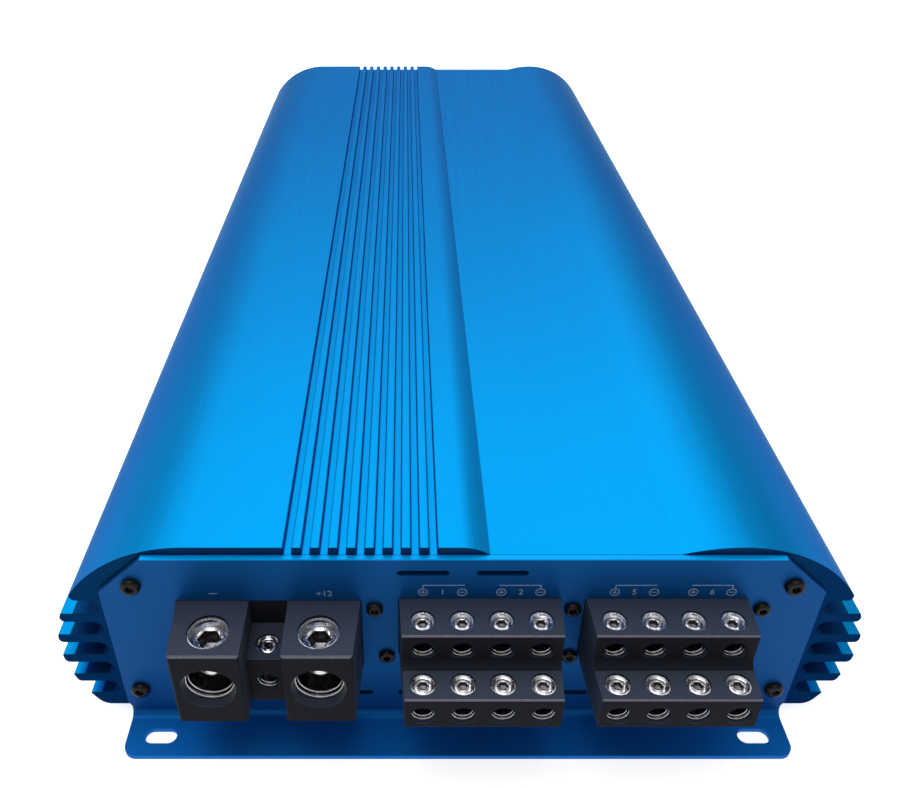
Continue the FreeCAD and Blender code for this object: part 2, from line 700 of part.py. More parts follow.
def remote_clamp_room():
    """Clamp block limits on X, Y and Z for the small middle clamp."""
    return ((GROUND_X[1] + REMOTE_SIDE_WALL, POSITIVE_X[0] - REMOTE_SIDE_WALL),
            (-PLATE_FACE - REMOTE_FRONT + SPEAKER_FRONT_WALL, -PLATE_FACE + REMOTE_BORE_DEPTH),
            (REMOTE_CLAMP_BOTTOM, REMOTE_CLAMP_TOP))


def grow(limits, gap):
    """Box limits widened by a gap on each side."""
    return tuple((low - gap, high + gap) for low, high in limits)


def power_housing():
    """Moulded housing of the ground, remote and positive clamps, with a flange behind the plate."""
    face, back = -PLATE_FACE, -PLATE_FACE + POWER_BACK
    blocks = []
    front_y = face - POWER_FRONT
    for (left, right), lean in ((GROUND_X, (POWER_DRAFT, 0)), (POSITIVE_X, (0, POWER_DRAFT))):
        plan = [(left - lean[0], face), (left, front_y), (right, front_y), (right + lean[1], face)]
        block = extrude_up(plan, POWER_BOTTOM, POWER_TOP)
        blocks.append(bevel_edges(block, HOUSING_CHAMFER,
                                  lambda c, e: abs(c.y - front_y) < 0.01))
    between = (GROUND_X[1], POSITIVE_X[0])
    blocks.append(box(between, (face - REMOTE_FRONT, face), (REMOTE_BOTTOM, REMOTE_TOP)))
    blocks += [box(x, (face, -BODY_END), z) for x, z in power_windows()]
    blocks.append(box((GROUND_X[0], POSITIVE_X[1]), (-BODY_END, back), (BOARD_TOP, POWER_TOP)))
    rim = POWER_DRAFT + EAR_RIM
    blocks.append(box((GROUND_X[0] - rim, POSITIVE_X[1] + rim),
                      (-BODY_END, -BODY_END + EAR_T), (BOARD_TOP, POWER_TOP + EAR_RIM)))
    ground, remote, positive = power_centres()
    holes = []
    for x, x_range in ((ground, GROUND_X), (positive, POSITIVE_X)):
        room = big_clamp(x_range)
        holes.append(box(*grow(room, CLAMP_GAP)))
        holes.append(rod((x, face - POWER_FRONT, POWER_BORE_Z), POWER_MOUTH_R,
                         FRONT_WALL + MOUTH_SPARE, (0, 1, 0)))
        holes.append(rod((x, face - POWER_SCREW_Y, POWER_CLAMP_TOP), POWER_ACCESS_R,
                         POWER_TOP - POWER_CLAMP_TOP, (0, 0, 1)))
        holes.append(tail_room(x, room))
    room = remote_clamp_room()
    holes.append(box(*grow(room, CLAMP_GAP)))
    holes.append(rod((remote, face - REMOTE_FRONT, REMOTE_BORE_Z), REMOTE_MOUTH_R,
                     SPEAKER_FRONT_WALL + MOUTH_SPARE, (0, 1, 0)))
    holes.append(rod((remote, face - REMOTE_SCREW_Y, REMOTE_CLAMP_TOP), REMOTE_ACCESS_R,
                     REMOTE_TOP - REMOTE_CLAMP_TOP, (0, 0, 1)))
    holes.append(tail_room(remote, room))
    return cut(fuse(blocks), holes)


def tail_limits(x, room):
    """Solder tail that runs from the back of a clamp block down to the board."""
    back = room[1][1]
    return ((x - CLAMP_TAIL / 2, x + CLAMP_TAIL / 2), (back - TAIL_THICKNESS, back), (BOARD_TOP, room[2][0]))


def tail_room(x, room):
    """Slot in the housing for a solder tail."""
    low, high = tail_limits(x, room)[2]
    wide = grow(tail_limits(x, room), CLAMP_GAP)
    return box(wide[0], wide[1], (low, high))


def clamp_block(x, room, bore, screw, collar, extra=()):
    """Metal block with a cable bore from the front and a threaded collar round its screw."""
    bore_z, bore_r, bore_depth = bore
    screw_y, screw_r = screw
    collar_r, collar_top = collar
    ring = rod((x, screw_y, room[2][0]), collar_r, collar_top - room[2][0], (0, 0, 1))
    block = fuse([box(*room), ring] + list(extra))
    return cut(block, [rod((x, room[1][0], bore_z), bore_r, bore_depth, (0, 1, 0)),
                       rod((x, screw_y, bore_z), screw_r + SHANK_GAP, collar_top - bore_z, (0, 0, 1))])


def power_clamps():
    """The three metal clamps of the power terminal and their screws, by node name."""
    ground, remote, positive = power_centres()
    nodes = {}
    for name, x, x_range in (("ground", ground, GROUND_X), ("positive", positive, POSITIVE_X)):
        screw_y = -PLATE_FACE - POWER_SCREW_Y
        room = big_clamp(x_range)
        nodes[name + "_clamp"] = clamp_block(x, room, (POWER_BORE_Z, POWER_BORE_R, POWER_BORE_DEPTH),
                                             (screw_y, POWER_SCREW_R),
                                             (POWER_ACCESS_R - COLLAR_GAP, POWER_TOP - POWER_COLLAR_DROP),
                                             [box(*tail_limits(x, room))])
        tip = POWER_BORE_Z + POWER_BORE_R - POWER_SCREW_BITE
        nodes[name + "_clamp_screw"] = grub_screw(x, screw_y, tip + POWER_SCREW_LENGTH,
                                                  POWER_SCREW_R, POWER_SCREW_LENGTH,
                                                  POWER_SCREW_HEX)
    screw_y = -PLATE_FACE - REMOTE_SCREW_Y
    room = remote_clamp_room()
    nodes["remote_clamp"] = clamp_block(remote, room, (REMOTE_BORE_Z, REMOTE_BORE_R, REMOTE_BORE_DEPTH),
                                        (screw_y, REMOTE_SCREW_R),
                                        (REMOTE_ACCESS_R - COLLAR_GAP, REMOTE_TOP - REMOTE_COLLAR_DROP),
                                        [box(*tail_limits(remote, room))])
    tip = REMOTE_BORE_Z + REMOTE_BORE_R - REMOTE_SCREW_BITE
    nodes["remote_clamp_screw"] = grub_screw(remote, screw_y, tip + REMOTE_SCREW_LENGTH,
                                             REMOTE_SCREW_R, REMOTE_SCREW_LENGTH,
                                             REMOTE_SCREW_HEX)
    return nodes


# ================================================================ speaker terminals
def ear_screws(side):
    """Places of the screws that hold one block's ears."""
    centre = SPEAKER_CENTRES[side]
    return [(centre + math.copysign(SPEAKER_HALF, out) + out, z) for out, z in EAR_SCREWS[side]]


def ear_screw_places():
    """Every screw that holds a terminal's ear, left block first."""
    return [place for side in SPEAKER_CENTRES for place in ear_screws(side)]


def speaker_windows():
    """Front-view rectangles that the two speaker housings fill."""
    return [((x - SPEAKER_HALF, x + SPEAKER_HALF), (SPEAKER_BOTTOM, UPPER_TOP))
            for x in SPEAKER_CENTRES.values()]


def speaker_tiers():
    """Bore height, screw station, tier top, tier front and screw bite of the two rows."""
    lower = (LOWER_BORE_Z, -PLATE_FACE - LOWER_SCREW_Y, LOWER_TOP, -PLATE_FACE - LOWER_FRONT,
             LOWER_SCREW_BITE)
    upper = (UPPER_BORE_Z, -PLATE_FACE - UPPER_SCREW_Y, UPPER_TOP, -PLATE_FACE - UPPER_FRONT,
             UPPER_SCREW_BITE)
    return lower, upper


def speaker_clamp_room(x, tier):
    """Clamp block limits on X, Y and Z for one way of a speaker terminal."""
    bore_z, _, top, front, _ = tier
    start = front + SPEAKER_FRONT_WALL
    return ((x - SPEAKER_CLAMP_HALF, x + SPEAKER_CLAMP_HALF),
            (start, start + SPEAKER_CLAMP_LENGTH),
            (bore_z - SPEAKER_CLAMP_FLOOR, top - SPEAKER_CLAMP_COVER))


def speaker_places(centre):
    """Centre of each way and its tier, lower row first."""
    return [(centre + x, tier) for tier in speaker_tiers() for x in spread(WAYS, WAY_PITCH)]


def speaker_housing(side):
    """Two-step moulded housing with drafted sides and ears behind the plate."""
    centre = SPEAKER_CENTRES[side]
    face, back = -PLATE_FACE, -PLATE_FACE + SPEAKER_BACK
    steps = [(face, SPEAKER_BOTTOM), (face - LOWER_FRONT, SPEAKER_BOTTOM, SPEAKER_CHAMFER),
             (face - LOWER_FRONT, LOWER_TOP, SPEAKER_CHAMFER),
             (face - UPPER_FRONT, LOWER_TOP, STEP_ROUND),
             (face - UPPER_FRONT, UPPER_TOP, SPEAKER_CHAMFER), (face, UPPER_TOP)]
    body = extrude_across(steps, centre - SPEAKER_HALF, centre + SPEAKER_HALF)
    narrow = SPEAKER_HALF - SPEAKER_DRAFT
    plan = [(centre - SPEAKER_HALF, face), (centre - narrow, face - LOWER_FRONT),
            (centre + narrow, face - LOWER_FRONT), (centre + SPEAKER_HALF, face)]
    body = body.common(extrude_up(plan, SPEAKER_BOTTOM, UPPER_TOP))
    wide = (centre - SPEAKER_HALF, centre + SPEAKER_HALF)
    parts = [body, box(wide, (face, -BODY_END), (SPEAKER_BOTTOM, UPPER_TOP)),
             box(wide, (-BODY_END, back), (BOARD_TOP, UPPER_TOP))]
    for x, z in ear_screws(side):
        reach = EAR_REACH if x > centre else -EAR_REACH
        parts.append(box((centre, x + reach), (-BODY_END, -BODY_END + EAR_T),
                         (z - EAR_HALF, z + EAR_HALF)))
    holes = []
    for x, tier in speaker_places(centre):
        bore_z, screw_y, _, front, _ = tier
        room = speaker_clamp_room(x, tier)
        holes.append(box(*grow(room, CLAMP_GAP)))
        holes.append(rod((x, front, bore_z), SPEAKER_MOUTH_R, SPEAKER_FRONT_WALL + MOUTH_SPARE,
                         (0, 1, 0)))
        holes.append(rod((x, screw_y, room[2][1]), SPEAKER_ACCESS_R, SPEAKER_CLAMP_COVER, (0, 0, 1)))
    for x, z in ear_screws(side):
        holes.append(rod((x, -BODY_END, z), TERMINAL_SCREW_R + SHANK_GAP, EAR_T, (0, 1, 0)))
    return cut(fuse(parts), holes)


def speaker_clamps(side):
    """Eight small clamp blocks of one speaker terminal."""
    clamps = []
    for x, tier in speaker_places(SPEAKER_CENTRES[side]):
        bore_z, screw_y, top, _, _ = tier
        clamps.append(clamp_block(x, speaker_clamp_room(x, tier),
                                  (bore_z, SPEAKER_BORE_R, SPEAKER_CLAMP_LENGTH),
                                  (screw_y, SPEAKER_SCREW_R),
                                  (SPEAKER_ACCESS_R - COLLAR_GAP, top - SPEAKER_COLLAR_DROP)))
    return clamps


def speaker_screws(side):
    """Clamp screws of one speaker terminal, one node each."""
    screws = []
    for x, tier in speaker_places(SPEAKER_CENTRES[side]):
        bore_z, screw_y, _, _, bite = tier
        tip = bore_z + SPEAKER_BORE_R - bite
        screws.append(grub_screw(x, screw_y, tip + SPEAKER_SCREW_LENGTH, SPEAKER_SCREW_R,
                                 SPEAKER_SCREW_LENGTH, SPEAKER_SCREW_HEX))
    return screws


# ================================================================ boards and inner parts
def main_board():
    """Circuit board held in the grooves of the side rails."""
    end = BODY_END - BOARD_END_GAP
    return box((-BOARD_HALF, BOARD_HALF), (-end, end), (BOARD_Z, BOARD_TOP))


def input_board_face():
    """Station of the input board's face that carries the sockets."""
    return BODY_END - INPUT_BOARD_Y + INPUT_BOARD_T


def input_board():
    """Upright board behind the rear plate."""
    return box((-INPUT_BOARD_HALF, INPUT_BOARD_HALF),
               (BODY_END - INPUT_BOARD_Y, input_board_face()), (BOARD_TOP, INPUT_BOARD_TOP))


def transistor_rows():
    """Stations of the power transistors along each wall."""
    return spread(TRANSISTOR_COUNT, TRANSISTOR_PITCH)


def bar_screw_places():
    """Stations of the clamp bar screws, each between two transistors."""
    rows = transistor_rows()
    gaps = [(a + b) / 2 for a, b in zip(rows, rows[1:])]
    return gaps[::2][:BAR_SCREW_COUNT]


def bar_centre_z():
    """Height of the clamp bars, across the middle of the transistors."""
    return TRANSISTOR_Z + TRANSISTOR[2] / 2


def power_transistors():
    """Transistors that stand against the side walls."""
    width, thickness, height = TRANSISTOR
    return [box((side * (WALL_X - thickness), side * WALL_X), (y - width / 2, y + width / 2),
                (TRANSISTOR_Z, TRANSISTOR_Z + height))
            for side in (-1, 1) for y in transistor_rows()]


def clamp_bars():
    """Bars that press the transistors against the walls."""
    bars = []
    thickness, height = CLAMP_BAR
    inner = WALL_X - TRANSISTOR[1]
    half = (transistor_rows()[-1] - transistor_rows()[0] + TRANSISTOR[0]) / 2 + BAR_OVERHANG
    z = bar_centre_z()
    for side in (-1, 1):
        bar = box((side * (inner - thickness), side * inner), (-half, half),
                  (z - height / 2, z + height / 2))
        holes = [rod((side * (inner - thickness), y, z), PORT_R + HOLE_GAP, thickness, (side, 0, 0))
                 for y in bar_screw_places()]
        bars.append(cut(bar, holes))
    return bars


def clamp_bar_screws():
    """Screws that pull the clamp bars to the walls."""
    thickness = CLAMP_BAR[0]
    reach = TRANSISTOR[1] + thickness + BAR_SCREW_DEPTH - BAR_SCREW_SPARE
    screws = []
    for side in (-1, 1):
        for y in bar_screw_places():
            at = (side * (WALL_X - TRANSISTOR[1] - thickness), y, bar_centre_z())
            screws.append(fuse([rod(at, M3_HEAD_R, M3_HEAD_H, (-side, 0, 0)),
                                rod(at, M3_R, reach, (side, 0, 0))]))
    return screws


def filter_capacitors():
    """Upright electrolytic capacitors in two rows."""
    cans = []
    columns, rows = CAPACITOR_ROWS
    for dx in spread(columns, CAPACITOR_PITCH):
        for dy in spread(rows, CAPACITOR_PITCH):
            at = V(CAPACITOR_AT[0] + dx, CAPACITOR_AT[1] + dy, BOARD_TOP)
            cans.append(Part.makeCylinder(CAPACITOR_R, CAPACITOR_H, at))
    return cans


def ring_coil(x, y, radius, hole_r, height):
    """Wound ring core that lies flat on the board."""
    at = (x, y, BOARD_TOP)
    return cut(rod(at, radius, height, (0, 0, 1)), [rod(at, hole_r, height, (0, 0, 1))])


def toroids():
    """Transformers of the power supply."""
    return [ring_coil(x, y, TOROID_R, TOROID_HOLE_R, TOROID_H) for x, y in TOROID_AT]


def inductors():
    """Output chokes in two rows behind the speaker terminals."""
    coils = []
    first = -PLATE_FACE + SPEAKER_BACK + INDUCTOR_SPACE + INDUCTOR_R
    for row in range(2):
        for dx in spread(INDUCTOR_COUNT // 2, INDUCTOR_PITCH):
            coils.append(ring_coil(INDUCTOR_X + dx, first + row * INDUCTOR_PITCH,
                                   INDUCTOR_R, INDUCTOR_HOLE_R, INDUCTOR_H))
    return coils


# ================================================================ input end
def rca_housings():
    """Moulded double socket bodies with a collar for each sleeve."""
    bodies = []
    front = input_board_face()
    for x in RCA_X:
        parts = [box((x - RCA_BODY_HALF, x + RCA_BODY_HALF), (front, BODY_END), RCA_BODY_Z)]
        bores = []
        for z in RCA_Z:
            parts.append(rod((x, BODY_END, z), RCA_COLLAR_R, SHEET + RCA_PROUD, (0, 1, 0)))
            bores.append(rod((x, BODY_END, z), RCA_SLEEVE_R, SHEET + RCA_PROUD, (0, 1, 0)))
        bodies.append(cut(fuse(parts), bores))
    return bodies


def rca_sleeves():
    """Metal outer contacts, one tube for each socket."""
    length = SHEET + RCA_PROUD + RCA_SLEEVE_OUT
    return [cut(rod((x, BODY_END, z), RCA_SLEEVE_R, length, (0, 1, 0)),
                [rod((x, BODY_END, z), RCA_SLEEVE_INNER_R, length, (0, 1, 0))])
            for x in RCA_X for z in RCA_Z]


def rca_inserts():
    """Insulating inserts with the hole for the plug's pin."""
    length = SHEET + RCA_PROUD + RCA_SLEEVE_OUT - RCA_INSERT_DROP
    return [cut(rod((x, BODY_END, z), RCA_SLEEVE_INNER_R, length, (0, 1, 0)),
                [rod((x, BODY_END + RCA_INSERT_BACK, z), RCA_PIN_R, length, (0, 1, 0))])
            for x in RCA_X for z in RCA_Z]


def knob_back():
    """Station of the knobs' inner face."""
    return input_board_face() + POT_DEPTH + SLIDER_GAP


def potentiometers():
    """Bodies that carry the knobs' pivots."""
    bodies = []
    front = input_board_face()
    for x, z in GAIN_KNOBS.values():
        body = box((x - POT_HALF, x + POT_HALF), (front, front + POT_DEPTH),
                   (z - POT_HALF, z + POT_HALF))
        bore = rod((x, front + POT_DEPTH, z), PIVOT_R + PIVOT_GAP, PIVOT_LENGTH + SLIDER_GAP, (0, -1, 0))
        bodies.append(cut(body, [bore]))
    return bodies


def knob(x, z):
    """Slotted adjuster that turns on a pivot in its potentiometer."""
    start, end = knob_back(), PLATE_FACE + KNOB_PROUD
    shaft = rod((x, start, z), KNOB_R, end - start, (0, 1, 0))
    pivot = rod((x, start, z), PIVOT_R, PIVOT_LENGTH, (0, -1, 0))
    slot = box((x - KNOB_R, x + KNOB_R), (end - KNOB_SLOT_DEPTH, end),
               (z - KNOB_SLOT / 2, z + KNOB_SLOT / 2))
    return cut(fuse([shaft, pivot]), [slot])


def switch_bodies():
    """Bodies of the slide switches, each with the channel for its slider."""
    bodies = []
    front = input_board_face()
    for x, z in SWITCHES.values():
        body = box((x - SWITCH_HALF, x + SWITCH_HALF), (front, BODY_END),
                   (z - SWITCH_HEIGHT, z + SWITCH_HEIGHT))
        reach = SLIDER_HALF + SLIDER_TRAVEL + SLIDER_GAP
        tall = SLIDER_HEIGHT + SLIDER_GAP
        channel = box((x - reach, x + reach), (BODY_END - SWITCH_DEPTH, BODY_END),
                      (z - tall, z + tall))
        bodies.append(cut(body, [channel]))
    return bodies


def slider(x, z):
    """Actuator of a slide switch."""
    return box((x - SLIDER_HALF, x + SLIDER_HALF),
               (BODY_END - SWITCH_DEPTH + SLIDER_GAP, PLATE_FACE + SLIDER_PROUD),
               (z - SLIDER_HEIGHT, z + SLIDER_HEIGHT))


def leds():
    """Indicator lamps with domed ends."""
    lamps = []
    front = input_board_face()
    for x, z in LED_PLACES:
        end = PLATE_FACE + LED_PROUD - LED_R
        stem = rod((x, front, z), LED_R, end - front, (0, 1, 0))
        dome = Part.makeSphere(LED_R, V(x, end, z))
        lamps.append(fuse([stem, dome]))
    return lamps


def remote_jack():
    """Socket for the wired level control."""
    front = input_board_face()
    body = box((REMOTE_JACK_X - REMOTE_JACK_HALF, REMOTE_JACK_X + REMOTE_JACK_HALF),
               (front, PLATE_FACE),
               (REMOTE_JACK_Z - REMOTE_JACK_HEIGHT, REMOTE_JACK_Z + REMOTE_JACK_HEIGHT))
    half_x, half_z = REMOTE_JACK_MOUTH
    mouth = box((REMOTE_JACK_X - half_x, REMOTE_JACK_X + half_x),
                (PLATE_FACE - REMOTE_JACK_DEPTH, PLATE_FACE),
                (REMOTE_JACK_Z - half_z, REMOTE_JACK_Z + half_z))
    return cut(body, [mouth])


# ================================================================ assembly
def main():
    os.makedirs("parts", exist_ok=True)
    save("heatsink_extrusion", [heatsink()])
    save("bottom_cover", [bottom_cover()])
    save("bottom_cover_screws", cover_screws())
    save("front_end_plate", [front_plate()])
    save("rear_end_plate", [rear_plate()])
    save("front_plate_screws", plate_screws(FRONT))
    save("rear_plate_screws", plate_screws(REAR))
    save("terminal_retaining_screws", terminal_screws())
    save("power_terminal_housing", [power_housing()])
    for name, shape in power_clamps().items():
        save(name, [shape])
    for side in SPEAKER_CENTRES:
        save("speaker_housing_" + side, [speaker_housing(side)])
        save("speaker_clamps_" + side, speaker_clamps(side))
        for number, screw in enumerate(speaker_screws(side), start=1):
            save("speaker_screw_{}_{}".format(side, number), [screw])
    save("main_circuit_board", [main_board()])
    save("input_circuit_board", [input_board()])
    save("power_transistors", power_transistors())
    save("transistor_clamp_bars", clamp_bars())
    save("clamp_bar_screws", clamp_bar_screws())
    save("filter_capacitors", filter_capacitors())
    save("toroid_transformers", toroids())
    save("output_inductors", inductors())
    save("rca_housings", rca_housings())
    save("rca_sleeves", rca_sleeves())
    save("rca_inserts", rca_inserts())
    save("potentiometer_bodies", potentiometers())
    for name, (x, z) in GAIN_KNOBS.items():
        save(name, [knob(x, z)])
    save("slide_switch_bodies", switch_bodies())
    for name, (x, z) in SWITCHES.items():
        save(name, [slider(x, z)])
    save("status_leds", leds())
    save("remote_level_socket", [remote_jack()])


main()
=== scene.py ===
import logging
import math
from dataclasses import dataclass, field
from enum import Enum
from typing import Any, Callable

import bmesh
import bpy
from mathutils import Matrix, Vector


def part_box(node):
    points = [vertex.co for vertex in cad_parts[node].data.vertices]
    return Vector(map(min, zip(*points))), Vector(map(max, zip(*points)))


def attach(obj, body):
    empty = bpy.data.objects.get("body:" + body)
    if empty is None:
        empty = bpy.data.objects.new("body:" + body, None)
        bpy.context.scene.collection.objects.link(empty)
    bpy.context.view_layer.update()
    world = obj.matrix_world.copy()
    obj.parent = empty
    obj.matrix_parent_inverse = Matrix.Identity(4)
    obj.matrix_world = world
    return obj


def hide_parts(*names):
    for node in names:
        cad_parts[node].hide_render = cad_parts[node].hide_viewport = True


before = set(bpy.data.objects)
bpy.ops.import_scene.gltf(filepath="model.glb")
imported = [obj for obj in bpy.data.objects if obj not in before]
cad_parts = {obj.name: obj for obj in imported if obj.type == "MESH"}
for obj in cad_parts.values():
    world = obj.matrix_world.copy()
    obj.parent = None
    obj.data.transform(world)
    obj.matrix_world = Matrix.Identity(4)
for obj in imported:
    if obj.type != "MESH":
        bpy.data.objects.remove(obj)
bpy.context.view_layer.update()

LOG = logging.getLogger("amplifier")
BODY = "amplifier"
MM = 0.001
SMOOTH_ANGLE = math.radians(32.0)
EDGE_ANGLE = math.radians(40.0)
FLAT_ANGLE = math.radians(0.6)
WELD_MM = 0.002
PRINT_WELD = 0.000002

HAIR = 1e-7
PATTERN_SPAN = (0.3, 0.7)
WHITE = (1.0, 1.0, 1.0, 1.0)

Triple = tuple[float, float, float]
Colour = Triple
Socket = bpy.types.NodeSocket


# ---------------------------------------------------------------- node trees
class NodeBench:
    """Adds the nodes of one tree and fills their inputs."""

    def __init__(self, tree: bpy.types.NodeTree) -> None:
        """Work on a tree."""
        self.tree = tree

    def fill(self, node: bpy.types.Node, feeds: dict[str | int, Any]) -> None:
        """Fill inputs of a node.

        Args:
            node: The node.
            feeds: A plain value or another node's output for each input.
        """
        for key, value in feeds.items():
            if isinstance(value, Socket):
                self.tree.links.new(value, node.inputs[key])
            else:
                node.inputs[key].default_value = value

    def add(self, kind: str, feeds: dict[str | int, Any] | None = None,
            **settings: Any) -> bpy.types.Node:
        """Add one node.

        Args:
            kind: Blender's type name of the node.
            feeds: A plain value or another node's output for each input.
            **settings: Properties set on the node.

        Returns:
            The new node.
        """
        node = self.tree.nodes.new(kind)
        for key, value in settings.items():
            setattr(node, key, value)
        self.fill(node, feeds or {})
        return node

    def calc(self, operation: str, *values: Any) -> Socket:
        """Result of a Math node."""
        return self.add("ShaderNodeMath", dict(enumerate(values)), operation=operation).outputs[0]

    def remap(self, source: Socket, start: float, end: float, low: float, high: float,
              kind: str = "LINEAR") -> Socket:
        """Bring a value from one span to another.

        Args:
            source: The value.
            start: Value that becomes low.
            end: Value that becomes high.
            low: Result at the start.
            high: Result at the end.
            kind: Blender's name of the curve between them.

        Returns:
            The result.
        """
        return self.add("ShaderNodeMapRange", {
            "Value": source, "From Min": start, "From Max": end, "To Min": low,
            "To Max": high}, interpolation_type=kind).outputs["Result"]

    def seen(self) -> Socket:
        """Mask of the light that is looked at.

        Returns:
            1 for what the camera, a gloss or a clear piece shows, and 0 for other light.
        """
        path = self.add("ShaderNodeLightPath")
        mask = path.outputs["Is Camera Ray"]
        for ray in ("Is Glossy Ray", "Is Transmission Ray"):
            mask = self.calc("MAXIMUM", mask, path.outputs[ray])
        return mask


class ShaderBench(NodeBench):
    """Adds the nodes of one material."""

    def __init__(self, name: str) -> None:
        """Start an empty material with an output and a Principled shader.

        Args:
            name: Name of the new material.
        """
        self.material = bpy.data.materials.new(name)
        self.material.use_nodes = True
        super().__init__(self.material.node_tree)
        self.tree.nodes.clear()
        self.shader = self.add("ShaderNodeBsdfPrincipled")
        self.add("ShaderNodeOutputMaterial", {"Surface": self.shader.outputs["BSDF"]})

    def place(self, scale: Triple = (1.0, 1.0, 1.0)) -> Socket:
        """Object coordinates times a scale along each axis."""
        where = self.add("ShaderNodeTexCoord").outputs["Object"]
        return self.add("ShaderNodeMapping", {"Vector": where, "Scale": scale}).outputs[0]

    def height(self) -> Socket:
        """Height in the object's own frame."""
        return self.add("ShaderNodeSeparateXYZ", {0: self.place()}).outputs["Z"]

    def noise(self, scale: Triple, detail: float = 3.0) -> Socket:
        """Noise over the object.

        Args:
            scale: Repeats per metre along each axis.
            detail: Number of octaves.

        Returns:
            The noise.
        """
        return self.add("ShaderNodeTexNoise", {
            "Vector": self.place(scale), "Scale": 1.0, "Detail": detail}).outputs["Fac"]

    def ramp(self, source: Socket, dark: Colour, light: Colour) -> Socket:
        """Colour between two shades along a pattern.

        Args:
            source: The pattern.
            dark: Shade at its low end.
            light: Shade at its high end.

        Returns:
            The colour.
        """
        node = self.add("ShaderNodeValToRGB", {"Fac": source})
        for stop, level, shade in zip(node.color_ramp.elements, PATTERN_SPAN, (dark, light)):
            stop.position, stop.color = level, (*shade, 1.0)
        return node.outputs["Color"]

    def mix(self, share: Any, first: Any, second: Any, kind: str = "MIX") -> Socket:
        """Two colours in one.

        Args:
            share: Share of the second.
            first: First colour.
            second: Second colour.
            kind: Blender's name of the blend.

        Returns:
            The colour.
        """
        return self.add("ShaderNodeMix", {0: share, 6: first, 7: second}, data_type="RGBA",
                        blend_type=kind).outputs[2]


# ---------------------------------------------------------------- finishes
@dataclass(frozen=True)
class Finish:
    """Surface of one material, with a fine variation that follows the piece."""

    name: str
    slot: str
    colour: Colour
    metallic: float = 0.0
    roughness: float = 0.5
    shade: float = 0.12
    gloss_spread: float = 0.05
    grain: Triple = (900.0, 900.0, 900.0)
    relief: float = 0.00002
    relief_strength: float = 0.3
    coat: float = 0.0
    coat_roughness: float = 0.2
    specular: float = 0.5
    edge_tint: Colour = (1.0, 1.0, 1.0)

    def tones(self, bench: ShaderBench, pattern: Socket) -> Socket:
        """The finish's colour, darker and lighter along a pattern."""
        return bench.ramp(pattern, tuple(c * (1.0 - self.shade) for c in self.colour),
                          tuple(min(1.0, c * (1.0 + self.shade)) for c in self.colour))

    def paint(self, bench: ShaderBench) -> tuple[Socket, Socket]:
        """Colour of the surface, and the pattern that its gloss and relief follow."""
        grain = bench.noise(self.grain)
        return self.tones(bench, grain), grain

    def material(self) -> bpy.types.Material:
        """Build the material once and return it.

        Returns:
            The finish's material.
        """
        known = bpy.data.materials.get(self.name)
        if known is not None:
            return known
        bench = ShaderBench(self.name)
        colour, pattern = self.paint(bench)
        gloss, spread = self.roughness, self.gloss_spread
        relief = bench.add("ShaderNodeBump", {
            "Distance": self.relief, "Strength": self.relief_strength, "Height": pattern})
        bench.fill(bench.shader, {
            "Metallic": self.metallic, "Coat Weight": self.coat,
            "Coat Roughness": self.coat_roughness, "Specular IOR Level": self.specular,
            "Specular Tint": (*self.edge_tint, 1.0), "Base Color": colour,
            "Roughness": bench.remap(pattern, *PATTERN_SPAN, gloss - spread, gloss + spread),
            "Normal": relief.outputs["Normal"]})
        bench.material.diffuse_color = (*self.colour, 1.0)
        return bench.material


@dataclass(frozen=True)
class BrushedFinish(Finish):
    """Anodised aluminium with fine lines along its length and faint broad clouds."""

    clouds: float = 14.0
    cloud_stretch: float = 0.4
    cloud_tone: Colour = (0.93, 0.95, 0.96)

    def paint(self, bench: ShaderBench) -> tuple[Socket, Socket]:
        """Lines along the grain over a slow change of shade.

        Args:
            bench: The material being built.

        Returns:
            The colour, and the pattern that gloss and relief follow.
        """
        lines = bench.noise(self.grain, detail=5.0)
        slow = bench.noise((self.clouds, self.clouds * self.cloud_stretch, self.clouds), detail=2.0)
        cloud = bench.ramp(slow, self.cloud_tone, (1.0, 1.0, 1.0))
        return bench.mix(1.0, self.tones(bench, lines), cloud, "MULTIPLY"), lines


@dataclass(frozen=True)
class PaintedLightSheetFinish(BrushedFinish):
    """Anodised sheet with painted light and shade: its upright face a darker blue as painted shade,
    its flange and top edge lighter blues as painted light.
    """

    # Above the level the top edge colour is a painted highlight; the foot colour, faded out over
    # the bend, is painted light on the flange.
    level: float = 0.0
    lit_rim: Colour = (0.5, 0.5, 0.5)
    foot: Colour = (0.5, 0.5, 0.5)
    bend: tuple[float, float] = (0.0, 0.01)

    def paint(self, bench: ShaderBench) -> tuple[Socket, Socket]:
        """The brushed surface, with a lighter blue above a level as a painted highlight and another
        on the flange as painted light.

        Args:
            bench: The material being built.

        Returns:
            The colour, and the pattern that gloss and relief follow.
        """
        colour, lines = super().paint(bench)
        height = bench.height()
        # Painted light: the flat flange takes the lighter foot colour, fading out over the bend.
        low = bench.remap(height, *self.bend, 1.0, 0.0, "SMOOTHSTEP")
        colour = bench.mix(low, colour, (*self.foot, 1.0))
        # Painted highlight: the sheet's top edge above the level takes the lighter top edge colour.
        above = bench.calc("GREATER_THAN", height, self.level)
        return bench.mix(above, colour, (*self.lit_rim, 1.0)), lines


@dataclass(frozen=True)
class BandedFinish(Finish):
    """Wound or striped surface: bands that run round the piece."""

    bands: float = 900.0
    other: Colour = (0.1, 0.1, 0.1)

    def paint(self, bench: ShaderBench) -> tuple[Socket, Socket]:
        """Bands of two shades with a matching relief.

        Args:
            bench: The material being built.

        Returns:
            The colour, and the pattern that gloss and relief follow.
        """
        wave = bench.add("ShaderNodeTexWave", {
            "Scale": self.bands, "Distortion": 1.5, "Vector": bench.place()},
            wave_type="RINGS", rings_direction="Z").outputs["Fac"]
        return bench.ramp(wave, self.other, self.colour), wave


